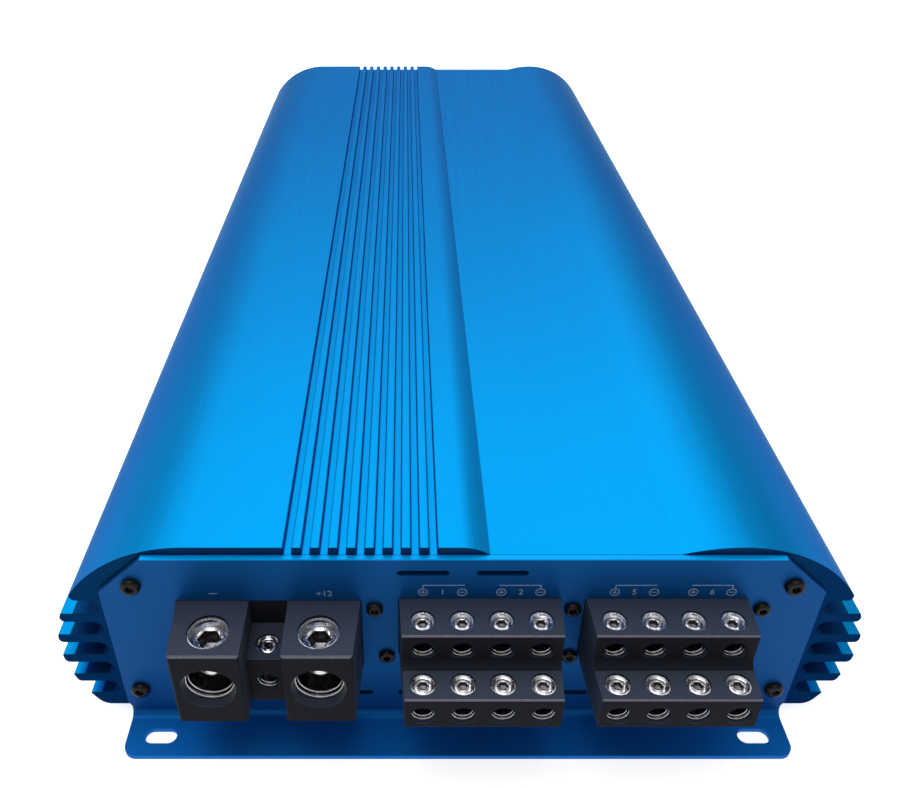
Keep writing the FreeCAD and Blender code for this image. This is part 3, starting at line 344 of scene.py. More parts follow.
@dataclass(frozen=True)
class TwoToneFinish(Finish):
    """Moulding that is one colour above a level and another below it."""

    level: float = 0.0
    below: Colour = (0.5, 0.02, 0.02)

    def paint(self, bench: ShaderBench) -> tuple[Socket, Socket]:
        """Two colours split at a level, with the common grain over both.

        Args:
            bench: The material being built.

        Returns:
            The colour, and the pattern that gloss and relief follow.
        """
        top, grain = super().paint(bench)
        under = bench.ramp(grain, tuple(c * 0.9 for c in self.below), self.below)
        above = bench.calc("GREATER_THAN", bench.height(), self.level)
        return bench.mix(above, under, top), grain


ANODISED_BODY = BrushedFinish(
    "anodised_body", "anodised_extrusion", (0.0, 0.276, 0.655), metallic=0.9, roughness=0.37,
    shade=0.06, gloss_spread=0.05, grain=(5200.0, 26.0, 5200.0), relief=0.000012,
    relief_strength=0.35, edge_tint=(0.03, 0.19, 0.33))
# Painted shade and light: the upright face is a darker blue as painted shade, the top edge and the
# flange lighter blues as painted light.
ANODISED_SHEET_PAINTED_SHADE_AND_LIGHT = PaintedLightSheetFinish(
    "anodised_sheet", "anodised_plate", (0.005, 0.084, 0.29), metallic=0.5, roughness=0.5,
    shade=0.05, gloss_spread=0.03, grain=(1500.0,) * 3, relief=0.000006,
    relief_strength=0.2, clouds=9.0, level=0.06205, lit_rim=(0.0, 0.36, 0.86),
    foot=(0.006, 0.195, 0.66), bend=(0.0013, 0.0018), edge_tint=(0.0, 0.2, 0.45))
# Sawn end faces: the saw-mark grain is their own, the dark blue is painted shade for faces turned
# away from the light.
SAWN_END_PAINTED_SHADE = BrushedFinish(
    "sawn_end", "anodised_extrusion", (0.004, 0.03, 0.085), metallic=1.0, roughness=0.42,
    shade=0.1, grain=(1800.0, 1800.0, 260.0), relief=0.00001, edge_tint=(0.0, 0.2, 0.4))
# Painted shade: darker blue far inside the fin slots.
SLOT_DEPTH_PAINTED_SHADE = BrushedFinish(
    "slot_depth", "anodised_extrusion", (0.0, 0.05, 0.16), metallic=0.8, roughness=0.45,
    shade=0.08, grain=(5200.0, 26.0, 5200.0), relief=0.00001, edge_tint=(0.0, 0.1, 0.25))
POWDER_BLACK = Finish(
    "powder_black", "cover_sheet", (0.022, 0.022, 0.024), roughness=0.55, shade=0.25,
    grain=(1400.0,) * 3, relief=0.00003, relief_strength=0.5)
TERMINAL_PLASTIC = Finish(
    "terminal_moulding", "terminal_plastic", (0.034, 0.044, 0.068), roughness=0.5, shade=0.12,
    gloss_spread=0.04, grain=(2600.0,) * 3, relief=0.000008, relief_strength=0.25,
    specular=0.1)
# Painted highlight: lighter copy of the moulding for the rounds along its front upper edges.
TERMINAL_EDGE_PAINTED_HIGHLIGHT = Finish(
    "terminal_edge", "terminal_plastic", (0.09, 0.105, 0.135), roughness=0.4, shade=0.2,
    grain=(900.0,) * 3, relief=0.000006, specular=0.5)
# Painted shade: darker copy of the moulding for its front faces, with a finer grain.
TERMINAL_FRONT_PAINTED_SHADE = Finish(
    "terminal_front", "terminal_plastic", (0.0108, 0.0118, 0.0178), roughness=0.62, shade=0.2,
    grain=(3600.0,) * 3, relief=0.00001, specular=0.06)
SOCKET_PLASTIC = Finish(
    "socket_moulding", "socket_plastic", (0.018, 0.018, 0.02), roughness=0.45, shade=0.2,
    grain=(2200.0,) * 3)
CONTROL_PLASTIC = Finish(
    "control_moulding", "control_plastic", (0.05, 0.05, 0.055), roughness=0.4, shade=0.15,
    grain=(2200.0,) * 3)
BLACK_OXIDE = Finish(
    "black_oxide", "black_oxide_screw", (0.009, 0.0075, 0.009), roughness=0.18,
    shade=0.2, grain=(1800.0,) * 3, relief=0.000006, specular=0.13)
BRIGHT_PLATE = Finish(
    "bright_plate", "chrome_screw", (0.82, 0.82, 0.84), metallic=1.0, roughness=0.14,
    shade=0.06, gloss_spread=0.06, grain=(1300.0,) * 3, relief=0.000018,
    relief_strength=0.35)
CLAMP_PLATE = Finish(
    "clamp_plate", "nickel_clamp", (0.7, 0.7, 0.72), metallic=1.0, roughness=0.17,
    shade=0.08, gloss_spread=0.06, grain=(1100.0,) * 3, relief=0.00002,
    relief_strength=0.35)
BORE_LIP = Finish(
    "bore_lip", "nickel_clamp", (0.46, 0.46, 0.48), metallic=1.0, roughness=0.2,
    shade=0.15, gloss_spread=0.08, grain=(1100.0,) * 3, relief=0.00002,
    relief_strength=0.35)
# Painted shade: darker copy of the clamp plating inside the cable bores.
CLAMP_BORE_PAINTED_SHADE = Finish(
    "clamp_bore", "nickel_clamp", (0.2, 0.2, 0.21), metallic=0.8, roughness=0.34,
    shade=0.25, gloss_spread=0.08, grain=(900.0,) * 3, relief=0.00002)
# Painted shade: darker copy of the screw plating inside the hexagon socket.
SCREW_SOCKET_PAINTED_SHADE = Finish(
    "screw_socket", "chrome_screw", (0.2, 0.2, 0.21), metallic=1.0, roughness=0.3,
    shade=0.2, gloss_spread=0.1, grain=(1500.0,) * 3, relief=0.00003)
SOCKET_METAL = Finish(
    "socket_metal", "socket_metal", (0.75, 0.75, 0.74), metallic=1.0, roughness=0.2,
    shade=0.05, grain=(1500.0, 200.0, 1500.0))
SOCKET_INSERT = TwoToneFinish(
    "socket_insert", "socket_insert", (0.78, 0.78, 0.75), roughness=0.35, shade=0.04,
    grain=(1500.0,) * 3, level=0.0375, below=(0.55, 0.02, 0.02))
CIRCUIT_BOARD = Finish(
    "circuit_board", "circuit_board", (0.02, 0.11, 0.045), roughness=0.3, shade=0.3,
    grain=(260.0, 900.0, 260.0), relief=0.00003)
TRANSISTOR_EPOXY = Finish(
    "transistor_epoxy", "transistor_epoxy", (0.028, 0.028, 0.028), roughness=0.55, shade=0.2)
ZINC_STEEL = Finish(
    "zinc_steel", "plain_steel", (0.5, 0.5, 0.49), metallic=1.0, roughness=0.32, shade=0.1,
    grain=(300.0, 900.0, 900.0))
CAPACITOR_SLEEVE = Finish(
    "capacitor_sleeve", "capacitor_sleeve", (0.02, 0.03, 0.065), roughness=0.3, shade=0.2)
COPPER_WINDING = BandedFinish(
    "copper_winding", "copper_winding", (0.62, 0.29, 0.1), metallic=0.9, roughness=0.28,
    bands=260.0, other=(0.2, 0.08, 0.03), relief=0.0001, relief_strength=0.6)
LAMP_LENS = Finish(
    "lamp_lens", "lamp_lens", (0.1, 0.25, 0.7), roughness=0.12, shade=0.05, coat=0.6,
    coat_roughness=0.05)
PANEL_PRINT = Finish(
    "panel_print", "anodised_plate", (0.3, 0.4, 0.56), roughness=0.5, shade=0.12,
    grain=(3000.0,) * 3, relief=0.000004)


# ---------------------------------------------------------------- mesh helpers
def link(name: str, data: bpy.types.ID) -> bpy.types.Object:
    """Put a mesh, lamp or other data into the scene as an object at the origin."""
    piece = bpy.data.objects.new(name, data)
    bpy.context.scene.collection.objects.link(piece)
    return piece


def mark_smooth(work: bmesh.types.BMesh, angle: float = SMOOTH_ANGLE) -> None:
    """Shade every face smooth and keep the edges past an angle sharp.

    Args:
        work: Mesh being built.
        angle: Angle between two faces past which their edge stays sharp.
    """
    for face in work.faces:
        face.smooth = True
    for edge in work.edges:
        edge.smooth = len(edge.link_faces) == 2 and edge.calc_face_angle(0.0) < angle


def finish_mesh(work: bmesh.types.BMesh, name: str) -> bpy.types.Mesh:
    """Turn a built mesh into Blender data with its shading marked.

    Args:
        work: Mesh being built; it is freed.
        name: Name of the result.

    Returns:
        The mesh.
    """
    mark_smooth(work)
    mesh = bpy.data.meshes.new(name)
    work.to_mesh(mesh)
    work.free()
    return mesh


def plain_mesh(maker: bpy.types.Object) -> bpy.types.Mesh:
    """Carry out an object's modifiers and keep only the mesh.

    Args:
        maker: The object; it is removed.

    Returns:
        The mesh.
    """
    graph = bpy.context.evaluated_depsgraph_get()
    mesh = bpy.data.meshes.new_from_object(maker.evaluated_get(graph), depsgraph=graph)
    maker.modifiers.clear()
    bpy.data.objects.remove(maker)
    return mesh


def even_shading(mesh: bpy.types.Mesh) -> bpy.types.Mesh:
    """Let the large flat faces rule the shading of the small rounds beside them.

    Args:
        mesh: Mesh with its sharp edges marked.

    Returns:
        The same shape with weighted normals.
    """
    maker = link(mesh.name + "_maker", mesh)
    step = maker.modifiers.new("even", "WEIGHTED_NORMAL")
    step.mode = "FACE_AREA"
    step.keep_sharp = True
    return plain_mesh(maker)


def softened(node: str, width: float, segments: int = 2,
             change: Callable[[bmesh.types.BMesh], None] | None = None) -> bpy.types.Mesh:
    """Copy a CAD node's mesh and round its sharp edges.

    Args:
        node: CAD node that is copied.
        width: Width of the rounds in metres.
        segments: Faces across each round.
        change: Further work on the rounded mesh, in metres.

    Returns:
        The new mesh, worked in millimetres and brought back to metres.
    """
    work = bmesh.new()
    work.from_mesh(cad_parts[node].data)
    bmesh.ops.scale(work, vec=Vector((1.0 / MM,) * 3), verts=work.verts)
    bmesh.ops.remove_doubles(work, verts=work.verts, dist=WELD_MM)
    bmesh.ops.dissolve_limit(work, angle_limit=FLAT_ANGLE, verts=work.verts,
                             edges=work.edges)
    sharp = [e for e in work.edges
             if len(e.link_faces) == 2 and e.calc_face_angle(0.0) > EDGE_ANGLE]
    bmesh.ops.bevel(work, geom=sharp, offset=width / MM, segments=segments, profile=0.5,
                    affect="EDGES", clamp_overlap=True)
    bmesh.ops.scale(work, vec=Vector((MM,) * 3), verts=work.verts)
    if change:
        change(work)
    return even_shading(finish_mesh(work, node + "_soft"))


class RingShape(Enum):
    """Outline of one ring of a turned piece."""

    ROUND = "round"
    HEXAGON = "hexagon"


@dataclass(frozen=True)
class Ring:
    """One ring of a turned piece, by its radius and height."""

    radius: float
    height: float
    shape: RingShape = RingShape.ROUND

    def reach(self, angle: float) -> float:
        """Distance from the axis to the ring at an angle."""
        if self.shape is RingShape.ROUND:
            return self.radius
        sixth = math.pi / 3.0
        return self.radius / math.cos((angle % sixth) - sixth / 2.0)


def socket_rings(*places: tuple[float, float]) -> list[Ring]:
    """Hexagon rings of a socket, each by its radius and height."""
    return [Ring(radius, height, RingShape.HEXAGON) for radius, height in places]


def turned(rings: list[Ring], steps: int = 60) -> bmesh.types.BMesh:
    """Closed body of rings about the Z axis, from its lower end to its upper end.

    Args:
        rings: The rings in order along the surface.
        steps: Points on each ring.

    Returns:
        The body as a mesh that is still open to changes.
    """
    work = bmesh.new()
    angles = [2.0 * math.pi * i / steps for i in range(steps)]
    loops = [[work.verts.new((ring.reach(a) * math.cos(a), ring.reach(a) * math.sin(a),
                              ring.height)) for a in angles] for ring in rings]
    for low, high in zip(loops, loops[1:]):
        for i in range(steps):
            j = (i + 1) % steps
            work.faces.new((low[i], low[j], high[j], high[i]))
    work.faces.new(list(reversed(loops[0])))
    work.faces.new(loops[-1])
    return work


# ---------------------------------------------------------------- geometry nodes
class NodeRecipe(NodeBench):
    """One Geometry Nodes group with named inputs, run once to make a plain mesh."""

    def __init__(self, name: str, **inputs: tuple[str, Any]) -> None:
        """Start a group that takes and gives geometry.

        Args:
            name: Name of the group.
            **inputs: Blender's socket type and the default of each named input.
        """
        super().__init__(bpy.data.node_groups.new(name, "GeometryNodeTree"))
        self.keys: dict[str, str] = {}
        for way in ("INPUT", "OUTPUT"):
            self.tree.interface.new_socket("Geometry", in_out=way,
                                           socket_type="NodeSocketGeometry")
        self.start = self.add("NodeGroupInput")
        for key, (kind, default) in {"Finish": ("Material", None), **inputs}.items():
            item = self.tree.interface.new_socket(key, in_out="INPUT",
                                                  socket_type="NodeSocket" + kind)
            if default is not None:
                item.default_value = default
            self.keys[key] = item.identifier

    def given(self, name: str) -> Socket:
        """What comes in at a named input."""
        return self.start.outputs[name]

    def stored(self, name: str, kind: str) -> Socket:
        """Attribute that the incoming points carry."""
        return self.add("GeometryNodeInputNamedAttribute", {"Name": name},
                        data_type=kind).outputs["Attribute"]

    def aim(self) -> Socket:
        """Turn that brings the Z axis to each point's facing."""
        return self.add("FunctionNodeAlignRotationToVector", {
            "Vector": self.stored("facing", "FLOAT_VECTOR")}, axis="Z").outputs[0]

    def set_out(self, pattern: Socket, turn: Socket, size: Socket) -> None:
        """Set a pattern piece at each point and end the group.

        Args:
            pattern: The pattern piece.
            turn: Its rotation.
            size: Its scale.
        """
        self.close(self.add("GeometryNodeInstanceOnPoints", {
            "Points": self.given("Geometry"), "Instance": pattern, "Rotation": turn,
            "Scale": size}).outputs["Instances"])

    def close(self, last: Socket) -> None:
        """End the group in Realize Instances and Set Material.

        Args:
            last: The finished geometry.
        """
        real = self.add("GeometryNodeRealizeInstances", {"Geometry": last})
        dress = self.add("GeometryNodeSetMaterial", {
            "Geometry": real.outputs["Geometry"], "Material": self.given("Finish")})
        self.add("NodeGroupOutput", {"Geometry": dress.outputs["Geometry"]})

    def run(self, name: str, seed: bpy.types.Mesh, values: dict[str, Any]) -> bpy.types.Object:
        """Run the group on a mesh and keep the result as a plain object.

        Args:
            name: Name of the new piece.
            seed: Mesh that goes in.
            values: Value of each named input.

        Returns:
            The new piece, with no modifier.
        """
        maker = link(name + "_maker", seed)
        step = maker.modifiers.new("recipe", "NODES")
        step.node_group = self.tree
        for key, value in values.items():
            step[self.keys[key]] = value
        return link(name, plain_mesh(maker))


def section_recipe() -> NodeRecipe:
    """Recipe that draws a flat section out along Y with softened ends.

    Returns:
        The recipe, with the inputs Length and Lip.
    """
    recipe = NodeRecipe("drawn_section", Length=("Float", 0.4), Lip=("Float", 0.0002))
    flat, lip = recipe.given("Geometry"), recipe.given("Lip")
    straight = recipe.calc("MULTIPLY_ADD", lip, -2.0, recipe.given("Length"))
    shift = recipe.stored("lip", "FLOAT_VECTOR")
    back = recipe.add("ShaderNodeVectorMath", {0: shift, "Scale": -1.0},
                      operation="SCALE").outputs[0]
    body, top = flat, None
    for run, change in ((lip, shift), (straight, None), (lip, back)):
        way = recipe.add("ShaderNodeCombineXYZ", {"Y": run}).outputs[0]
        pull = recipe.add("GeometryNodeExtrudeMesh", {
            "Mesh": body, "Offset": way, "Individual": False}, mode="FACES")
        if top is not None:
            recipe.fill(pull, {"Selection": top})
        body, top = pull.outputs["Mesh"], pull.outputs["Top"]
        if change is not None:
            body = recipe.add("GeometryNodeSetPosition", {
                "Geometry": body, "Selection": top, "Offset": change}).outputs["Geometry"]
    both = recipe.add("GeometryNodeJoinGeometry", {"Geometry": body})
    recipe.fill(both, {"Geometry": recipe.add("GeometryNodeFlipFaces", {"Mesh": flat}).outputs[0]})
    weld = recipe.add("GeometryNodeMergeByDistance", {
        "Geometry": both.outputs["Geometry"], "Distance": HAIR})
    recipe.close(weld.outputs["Geometry"])
    return recipe


def scatter_recipe() -> NodeRecipe:
    """Recipe that sets a pattern piece at each point, its Z axis along the point's facing.

    Returns:
        The recipe, with the inputs Pattern, Size and Seed.
    """
    recipe = NodeRecipe("set_in_place", Pattern=("Object", None), Size=("Float", 1.0),
                        Seed=("Int", 3))
    pattern = recipe.add("GeometryNodeObjectInfo", {"Object": recipe.given("Pattern")},
                         transform_space="ORIGINAL")
    chance = recipe.add("FunctionNodeRandomValue", {
        2: 0.0, 3: 2.0 * math.pi, "Seed": recipe.given("Seed")}, data_type="FLOAT")
    spin = recipe.add("FunctionNodeAxisAngleToRotation", {
        "Axis": (0.0, 0.0, 1.0), "Angle": chance.outputs[1]})
    turn = recipe.add("FunctionNodeRotateRotation", {0: recipe.aim(), 1: spin.outputs[0]},
                      rotation_space="LOCAL")
    recipe.set_out(pattern.outputs["Geometry"], turn.outputs[0], recipe.given("Size"))
    return recipe


def ring_recipe() -> NodeRecipe:
    """Recipe that sets a closed round wire ring at each point, square to the point's facing.

    Returns:
        The recipe, with the inputs Radius and Wire.
    """
    recipe = NodeRecipe("wire_rings", Radius=("Float", 0.003), Wire=("Float", 0.0002))
    path, section = (recipe.add("GeometryNodeCurvePrimitiveCircle", {
        "Resolution": points, "Radius": recipe.given(name)}).outputs["Curve"]
        for name, points in (("Radius", 40), ("Wire", 10)))
    tube = recipe.add("GeometryNodeCurveToMesh", {"Curve": path, "Profile Curve": section})
    recipe.set_out(tube.outputs["Mesh"], recipe.aim(), recipe.stored("size", "FLOAT"))
    return recipe


def point_mesh(name: str, places: list[Vector], facing: Vector) -> bpy.types.Mesh:
    """Loose points that all face one way.

    Args:
        name: Name of the mesh.
        places: The points.
        facing: Direction stored on each of them.

    Returns:
        The mesh, with the attribute "facing".
    """
    mesh = bpy.data.meshes.new(name)
    mesh.from_pydata([tuple(p) for p in places], [], [])
    stored = mesh.attributes.new("facing", "FLOAT_VECTOR", "POINT")
    for item in stored.data:
        item.vector = facing
    return mesh


# ---------------------------------------------------------------- shared base
@dataclass
class SubAssembly:
    """Common work of every group of pieces: naming, dressing and riding."""

    body: str = BODY
    made: list[str] = field(default_factory=list)

    def dress(self, piece: bpy.types.Object, finish: Finish, body: str | None = None,
              stands_for: tuple[str, ...] = ()) -> bpy.types.Object:
        """Give a piece its finish and hang it on its body.

        Args:
            piece: The piece.
            finish: Its finish.
            body: Body that it rides on, if not the group's own.
            stands_for: CAD nodes that it takes the place of.

        Returns:
            The same piece.
        """
        slots = piece.data.materials
        if not slots:
            slots.append(finish.material())
        for i, material in enumerate(slots):
            if material is None:
                slots[i] = finish.material()
        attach(piece, body or self.body)
        if stands_for:
            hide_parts(*stands_for)
        self.made.append(piece.name)
        return piece

    def keep(self, node: str, finish: Finish) -> None:
        """Keep a CAD node as it is and give it a finish.

        Args:
            node: The node.
            finish: Its finish.
        """
        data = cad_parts[node].data
        data.materials.clear()
        data.materials.append(finish.material())
        self.made.append(node)

    def soften(self, node: str, width: float, finish: Finish, body: str | None = None,
               segments: int = 2, change: Callable[[bmesh.types.BMesh], None] | None = None,
               others: tuple[Finish, ...] = ()) -> bpy.types.Object:
        """Replace a CAD node by its own shape with rounded edges.

        Args:
            node: The node.
            width: Width of the rounds in metres.
            finish: Its finish.
            body: Body that it rides on, if not the group's own.
            segments: Faces across each round.
            change: Further work on the rounded mesh.
            others: Finishes of the faces that the change gives material index 1, 2 and so on.

        Returns:
            The new piece.
        """
        mesh = softened(node, width, segments, change)
        piece = link(node + "_piece", mesh)
        chosen = [face.material_index for face in mesh.polygons]
        mesh.materials.clear()
        for surface in (finish, *others):
            mesh.materials.append(surface.material())
        if others:
            mesh.polygons.foreach_set("material_index", chosen)
        return self.dress(piece, finish, body, (node,))


# ---------------------------------------------------------------- heatsink
@dataclass
class Corner:
    """One point of a section outline, with the round that it gets."""

    x: float
    z: float
    radius: float = 0.0


@dataclass
class Heatsink(SubAssembly):
    """Extruded body with ribs on its deck and cooling fins on both flanks."""

    shoulder_x: float = 70.0 * MM
    shoulder_r: float = 38.2 * MM
    recess_depth: float = 2.4 * MM
    rib_count: int = 8
    rib_width: float = 2.4 * MM
    rib_pitch: float = 4.56 * MM
    first_rib_x: float = -41.7 * MM
    strip_flat: float = 5.7 * MM
    strip_slope: float = 7.45 * MM
    sweep_start_x: float = 54.4 * MM
    fin_count: int = 5
    fin_pitch: float = 8.06 * MM
    fin_slot: float = 4.9 * MM
    first_slot_z: float = 43.45 * MM
    fin_root_x: float = 95.15 * MM
    fin_round: float = 1.45 * MM
    last_fin_round: float = 4.2 * MM
    # Band at each slot's mouth that keeps the body finish; farther in, the slot's painted shade
    # starts.
    slot_bright: float = 3.2 * MM
    edge_round: float = 0.32 * MM
    wall_x: float = 91.0 * MM
    rebate: float = 2.5 * MM
    sheet: float = 1.5 * MM
    rail_x: float = 84.5 * MM
    groove: tuple[float, float] = (15.9 * MM, 17.7 * MM)
    lip_x: float = 86.6 * MM
    lip_top: float = 19.7 * MM
    ceiling_wall: float = 3.5 * MM
    corner_cut: float = 11.0 * MM
    lip: float = 0.16 * MM
    arc_step: float = 0.45 * MM
    sweep_faces: int = 16
    slot_faces: int = 12
    ceiling_round: float = 2.0 * MM

    def __post_init__(self) -> None:
        """Read the levels of the body from its CAD box."""
        low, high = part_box("heatsink_extrusion")
        self.deck_z = high.z
        self.base_z = low.z
        self.start_y = low.y
        self.length = high.y - low.y
        self.floor_z = self.deck_z - self.recess_depth
        self.shoulder_z = self.deck_z - self.shoulder_r

    def flank_x(self, z: float) -> float:
        """Half width of the flank's arc at a height."""
        return self.shoulder_x + math.sqrt(self.shoulder_r ** 2 - (z - self.shoulder_z) ** 2)

    def flank_arc(self, z0: float, z1: float) -> list[Corner]:
        """Points of the flank's arc strictly between two heights.

        Args:
            z0: Height where the stretch starts.
            z1: Height where it ends, below the first.

        Returns:
            The points in order, going down.
        """
        a0 = math.asin(min(1.0, (z0 - self.shoulder_z) / self.shoulder_r))
        a1 = math.asin((z1 - self.shoulder_z) / self.shoulder_r)
        count = max(2, int(abs(a0 - a1) * self.shoulder_r / self.arc_step))
        points = []
        for i in range(1, count):
            a = a0 + (a1 - a0) * i / count
            points.append(Corner(self.shoulder_x + self.shoulder_r * math.cos(a),
                                 self.shoulder_z + self.shoulder_r * math.sin(a)))
        return points

    def falling_arc(self, x_top: float, x_floor: float) -> list[Corner]:
        """Arc that leaves the deck level and comes down to the recess floor.

        Args:
            x_top: Where it leaves the deck.
            x_floor: Where it meets the floor.

        Returns:
            The points in order from the deck to the floor, without the first.
        """
        run = x_floor - x_top
        radius = (run ** 2 + self.recess_depth ** 2) / (2.0 * self.recess_depth)
        whole = math.asin(abs(run) / radius)
        side = math.copysign(1.0, run)
        count = self.sweep_faces
        return [Corner(x_top + side * radius * math.sin(whole * i / count),
                       self.deck_z - radius * (1.0 - math.cos(whole * i / count)))
                for i in range(1, count + 1)]

    def deck(self) -> list[Corner]:
        """Top of the section from the left shoulder to the right one.

        Returns:
            The points in order.
        """
        small = self.edge_round
        half = self.rib_width / 2.0
        gap = self.rib_pitch - self.rib_width
        x = self.first_rib_x - self.rib_pitch + half
        points = [Corner(-self.shoulder_x, self.deck_z), Corner(x, self.deck_z, small)]
        for i in range(self.rib_count):
            left = self.first_rib_x + i * self.rib_pitch - half
            right = left + self.rib_width
            points += [Corner(x, self.floor_z, small), Corner(left, self.floor_z, small),
                       Corner(left, self.deck_z, small), Corner(right, self.deck_z, small)]
            x = right
        strip = x + gap
        points += [Corner(x, self.floor_z, small), Corner(strip, self.floor_z, small),
                   Corner(strip, self.deck_z, small)]
        top = strip + self.strip_flat
        points.append(Corner(top, self.deck_z))
        points += self.falling_arc(top, top + self.strip_slope)
        points += list(reversed(self.falling_arc(self.shoulder_x, self.sweep_start_x)))
        points.append(Corner(self.shoulder_x, self.deck_z))
        return points

    def flank(self) -> list[Corner]:
        """Right flank from the deck down round the fins to the underside.

        Returns:
            The points in order.
        """
        points: list[Corner] = []
        z = self.deck_z
        half = self.fin_slot / 2.0
        for i in range(self.fin_count):
            slot = self.first_slot_z - i * self.fin_pitch
            upper, lower = slot + half, slot - half
            points += self.flank_arc(z, upper)
            points.append(Corner(self.flank_x(upper), upper, self.fin_round))
            points.append(Corner(self.flank_x(upper) - self.slot_bright, upper))
            root = self.fin_root_x + half
            for k in range(self.slot_faces + 1):
                a = math.pi * (0.5 + k / self.slot_faces)
                points.append(Corner(root + half * math.cos(a), slot + half * math.sin(a)))
            points.append(Corner(self.flank_x(lower) - self.slot_bright, lower))
            points.append(Corner(self.flank_x(lower), lower, self.edge_round))
            z = lower
        points += self.flank_arc(z, self.base_z)
        points.append(Corner(self.flank_x(self.base_z), self.base_z, self.last_fin_round))
        return points

    def inside(self) -> list[Corner]:
        """Right half of the cavity, from the underside up to the middle of the ceiling.

        Returns:
            The points in order.
        """
        seat = self.base_z + self.sheet
        ceiling = self.floor_z - self.ceiling_wall
        return [Corner(self.wall_x + self.rebate, self.base_z, self.lip),
                Corner(self.wall_x + self.rebate, seat), Corner(self.rail_x, seat),
                Corner(self.rail_x, self.groove[0]), Corner(self.wall_x, self.groove[0]),
                Corner(self.wall_x, self.groove[1]), Corner(self.lip_x, self.groove[1]),
                Corner(self.lip_x, self.lip_top), Corner(self.wall_x, self.lip_top),
                Corner(self.wall_x, ceiling - self.corner_cut, self.ceiling_round),
                Corner(self.wall_x - self.corner_cut, ceiling, self.ceiling_round)]

    def outline(self) -> list[Corner]:
        """Whole section as one closed loop, clockwise seen from the terminal end."""
        right = self.flank() + self.inside()
        left = [Corner(-c.x, c.z, c.radius) for c in reversed(right)]
        return self.deck()[1:-1] + [Corner(self.shoulder_x, self.deck_z)] + right + left \
            + [Corner(-self.shoulder_x, self.deck_z)]

    def build(self) -> None:
        """Draw the section out along the body."""
        loop = round_corners([(Vector((c.x, c.z)), c.radius) for c in self.outline()])
        mesh = section_mesh("heatsink_section", loop, self.start_y, self.lip)
        piece = section_recipe().run("heatsink", mesh, {
            "Finish": ANODISED_BODY.material(), "Length": self.length, "Lip": self.lip})
        piece.data.materials.clear()
        # Index 1 paints shade on the sawn end faces, index 2 paints shade far inside the fin slots.
        for finish in (ANODISED_BODY, SAWN_END_PAINTED_SHADE, SLOT_DEPTH_PAINTED_SHADE):
            piece.data.materials.append(finish.material())
        work = bmesh.new()
        work.from_mesh(piece.data)
        bmesh.ops.recalc_face_normals(work, faces=work.faces)
        # Faces along Y are the end faces; lower slot faces past the bright band get the slot's
        # painted shade.
        for face in work.faces:
            spot = face.calc_center_median()
            low_side = self.base_z < spot.z < self.first_slot_z + self.fin_slot
            deep_for_painted_shade = self.wall_x + self.lip < abs(spot.x) < self.flank_x(spot.z) - self.slot_bright
            face.material_index = 1 if abs(face.normal.y) > 0.5 else 2 * int(low_side and deep_for_painted_shade)
        mark_smooth(work)
        work.to_mesh(piece.data)
        work.free()
        self.dress(piece, ANODISED_BODY, stands_for=("heatsink_extrusion",))


def round_corners(points: list[tuple[Vector, float]], steps: int = 4) -> list[Vector]:
    """Closed outline whose marked corners are rounded.

    Args:
        points: Each point with the radius of its round, or zero.
        steps: Faces across each round.

    Returns:
        The points of the finished outline.
    """
    clean: list[tuple[Vector, float]] = []
    for point, radius in points:
        if not clean or (point - clean[-1][0]).length > HAIR:
            clean.append((point, radius))
    count = len(clean)
    stations = [0.0]
    for (a, _), (b, _) in zip(clean, clean[1:] + clean[:1]):
        stations.append(stations[-1] + (b - a).length)
    total = stations[-1]

    def at(distance: float) -> Vector:
        """Point of the sharp outline at a distance along it."""
        distance %= total
        low = max(i for i in range(count) if stations[i] <= distance + 1e-12)
        a, b = clean[low][0], clean[(low + 1) % count][0]
        step = stations[low + 1] - stations[low]
        return a.lerp(b, min(1.0, (distance - stations[low]) / step)) if step else a.copy()

    result: list[tuple[float, Vector]] = []
    taken: list[tuple[float, float]] = []
    for i, (point, radius) in enumerate(clean):
        if not radius:
            continue
        before = (clean[i - 1][0] - point).normalized()
        after = (clean[(i + 1) % count][0] - point).normalized()
        half = before.angle(after) / 2.0
        run = radius / math.tan(half)
        first, last = at(stations[i] - run), at(stations[i] + run)
        weight = math.sin(half)
        for k in range(steps + 1):
            t = k / steps
            a, b, c = (1 - t) ** 2, 2 * t * (1 - t) * weight, t * t
            spot = (first * a + point * b + last * c) / (a + b + c)
            result.append((stations[i] + run * (2 * t - 1), spot))
        taken.append((stations[i] - run, stations[i] + run))
    for i, (point, radius) in enumerate(clean):
        if radius or any(a - 1e-9 < s < b + 1e-9 for a, b in taken
                         for s in (stations[i], stations[i] + total, stations[i] - total)):
            continue
        result.append((stations[i], point))
    return [p for _, p in sorted(result, key=lambda item: item[0])]


def section_mesh(name: str, loop: list[Vector], y: float, lip: float) -> bpy.types.Mesh:
    """Flat face of a section, pulled in by a lip that is stored on its points.

    Args:
        name: Name of the mesh.
        loop: Outline in X and Z.
        y: Station of the face.
        lip: Distance between the face's edge and the section's true edge.

    Returns:
        The mesh, with the attribute "lip".
    """
    area = sum(a.x * b.y - b.x * a.y for a, b in zip(loop, loop[1:] + loop[:1]))
    side = 1.0 if area > 0 else -1.0
    count = len(loop)
    shifts = []
    for i, point in enumerate(loop):
        into = (point - loop[i - 1]).normalized()
        out = (loop[(i + 1) % count] - point).normalized()
        normal = (Vector((into.y, -into.x)) + Vector((out.y, -out.x))) * side
        shifts.append(normal.normalized() * lip)
    points = [(p.x - s.x, y, p.y - s.y) for p, s in zip(loop, shifts)]
    order = list(range(count)) if side > 0 else list(reversed(range(count)))
    mesh = bpy.data.meshes.new(name)
    mesh.from_pydata(points, [], [order])
    stored = mesh.attributes.new("lip", "FLOAT_VECTOR", "POINT")
    for item, shift in zip(stored.data, shifts):
        item.vector = (shift.x, 0.0, shift.y)
    return mesh


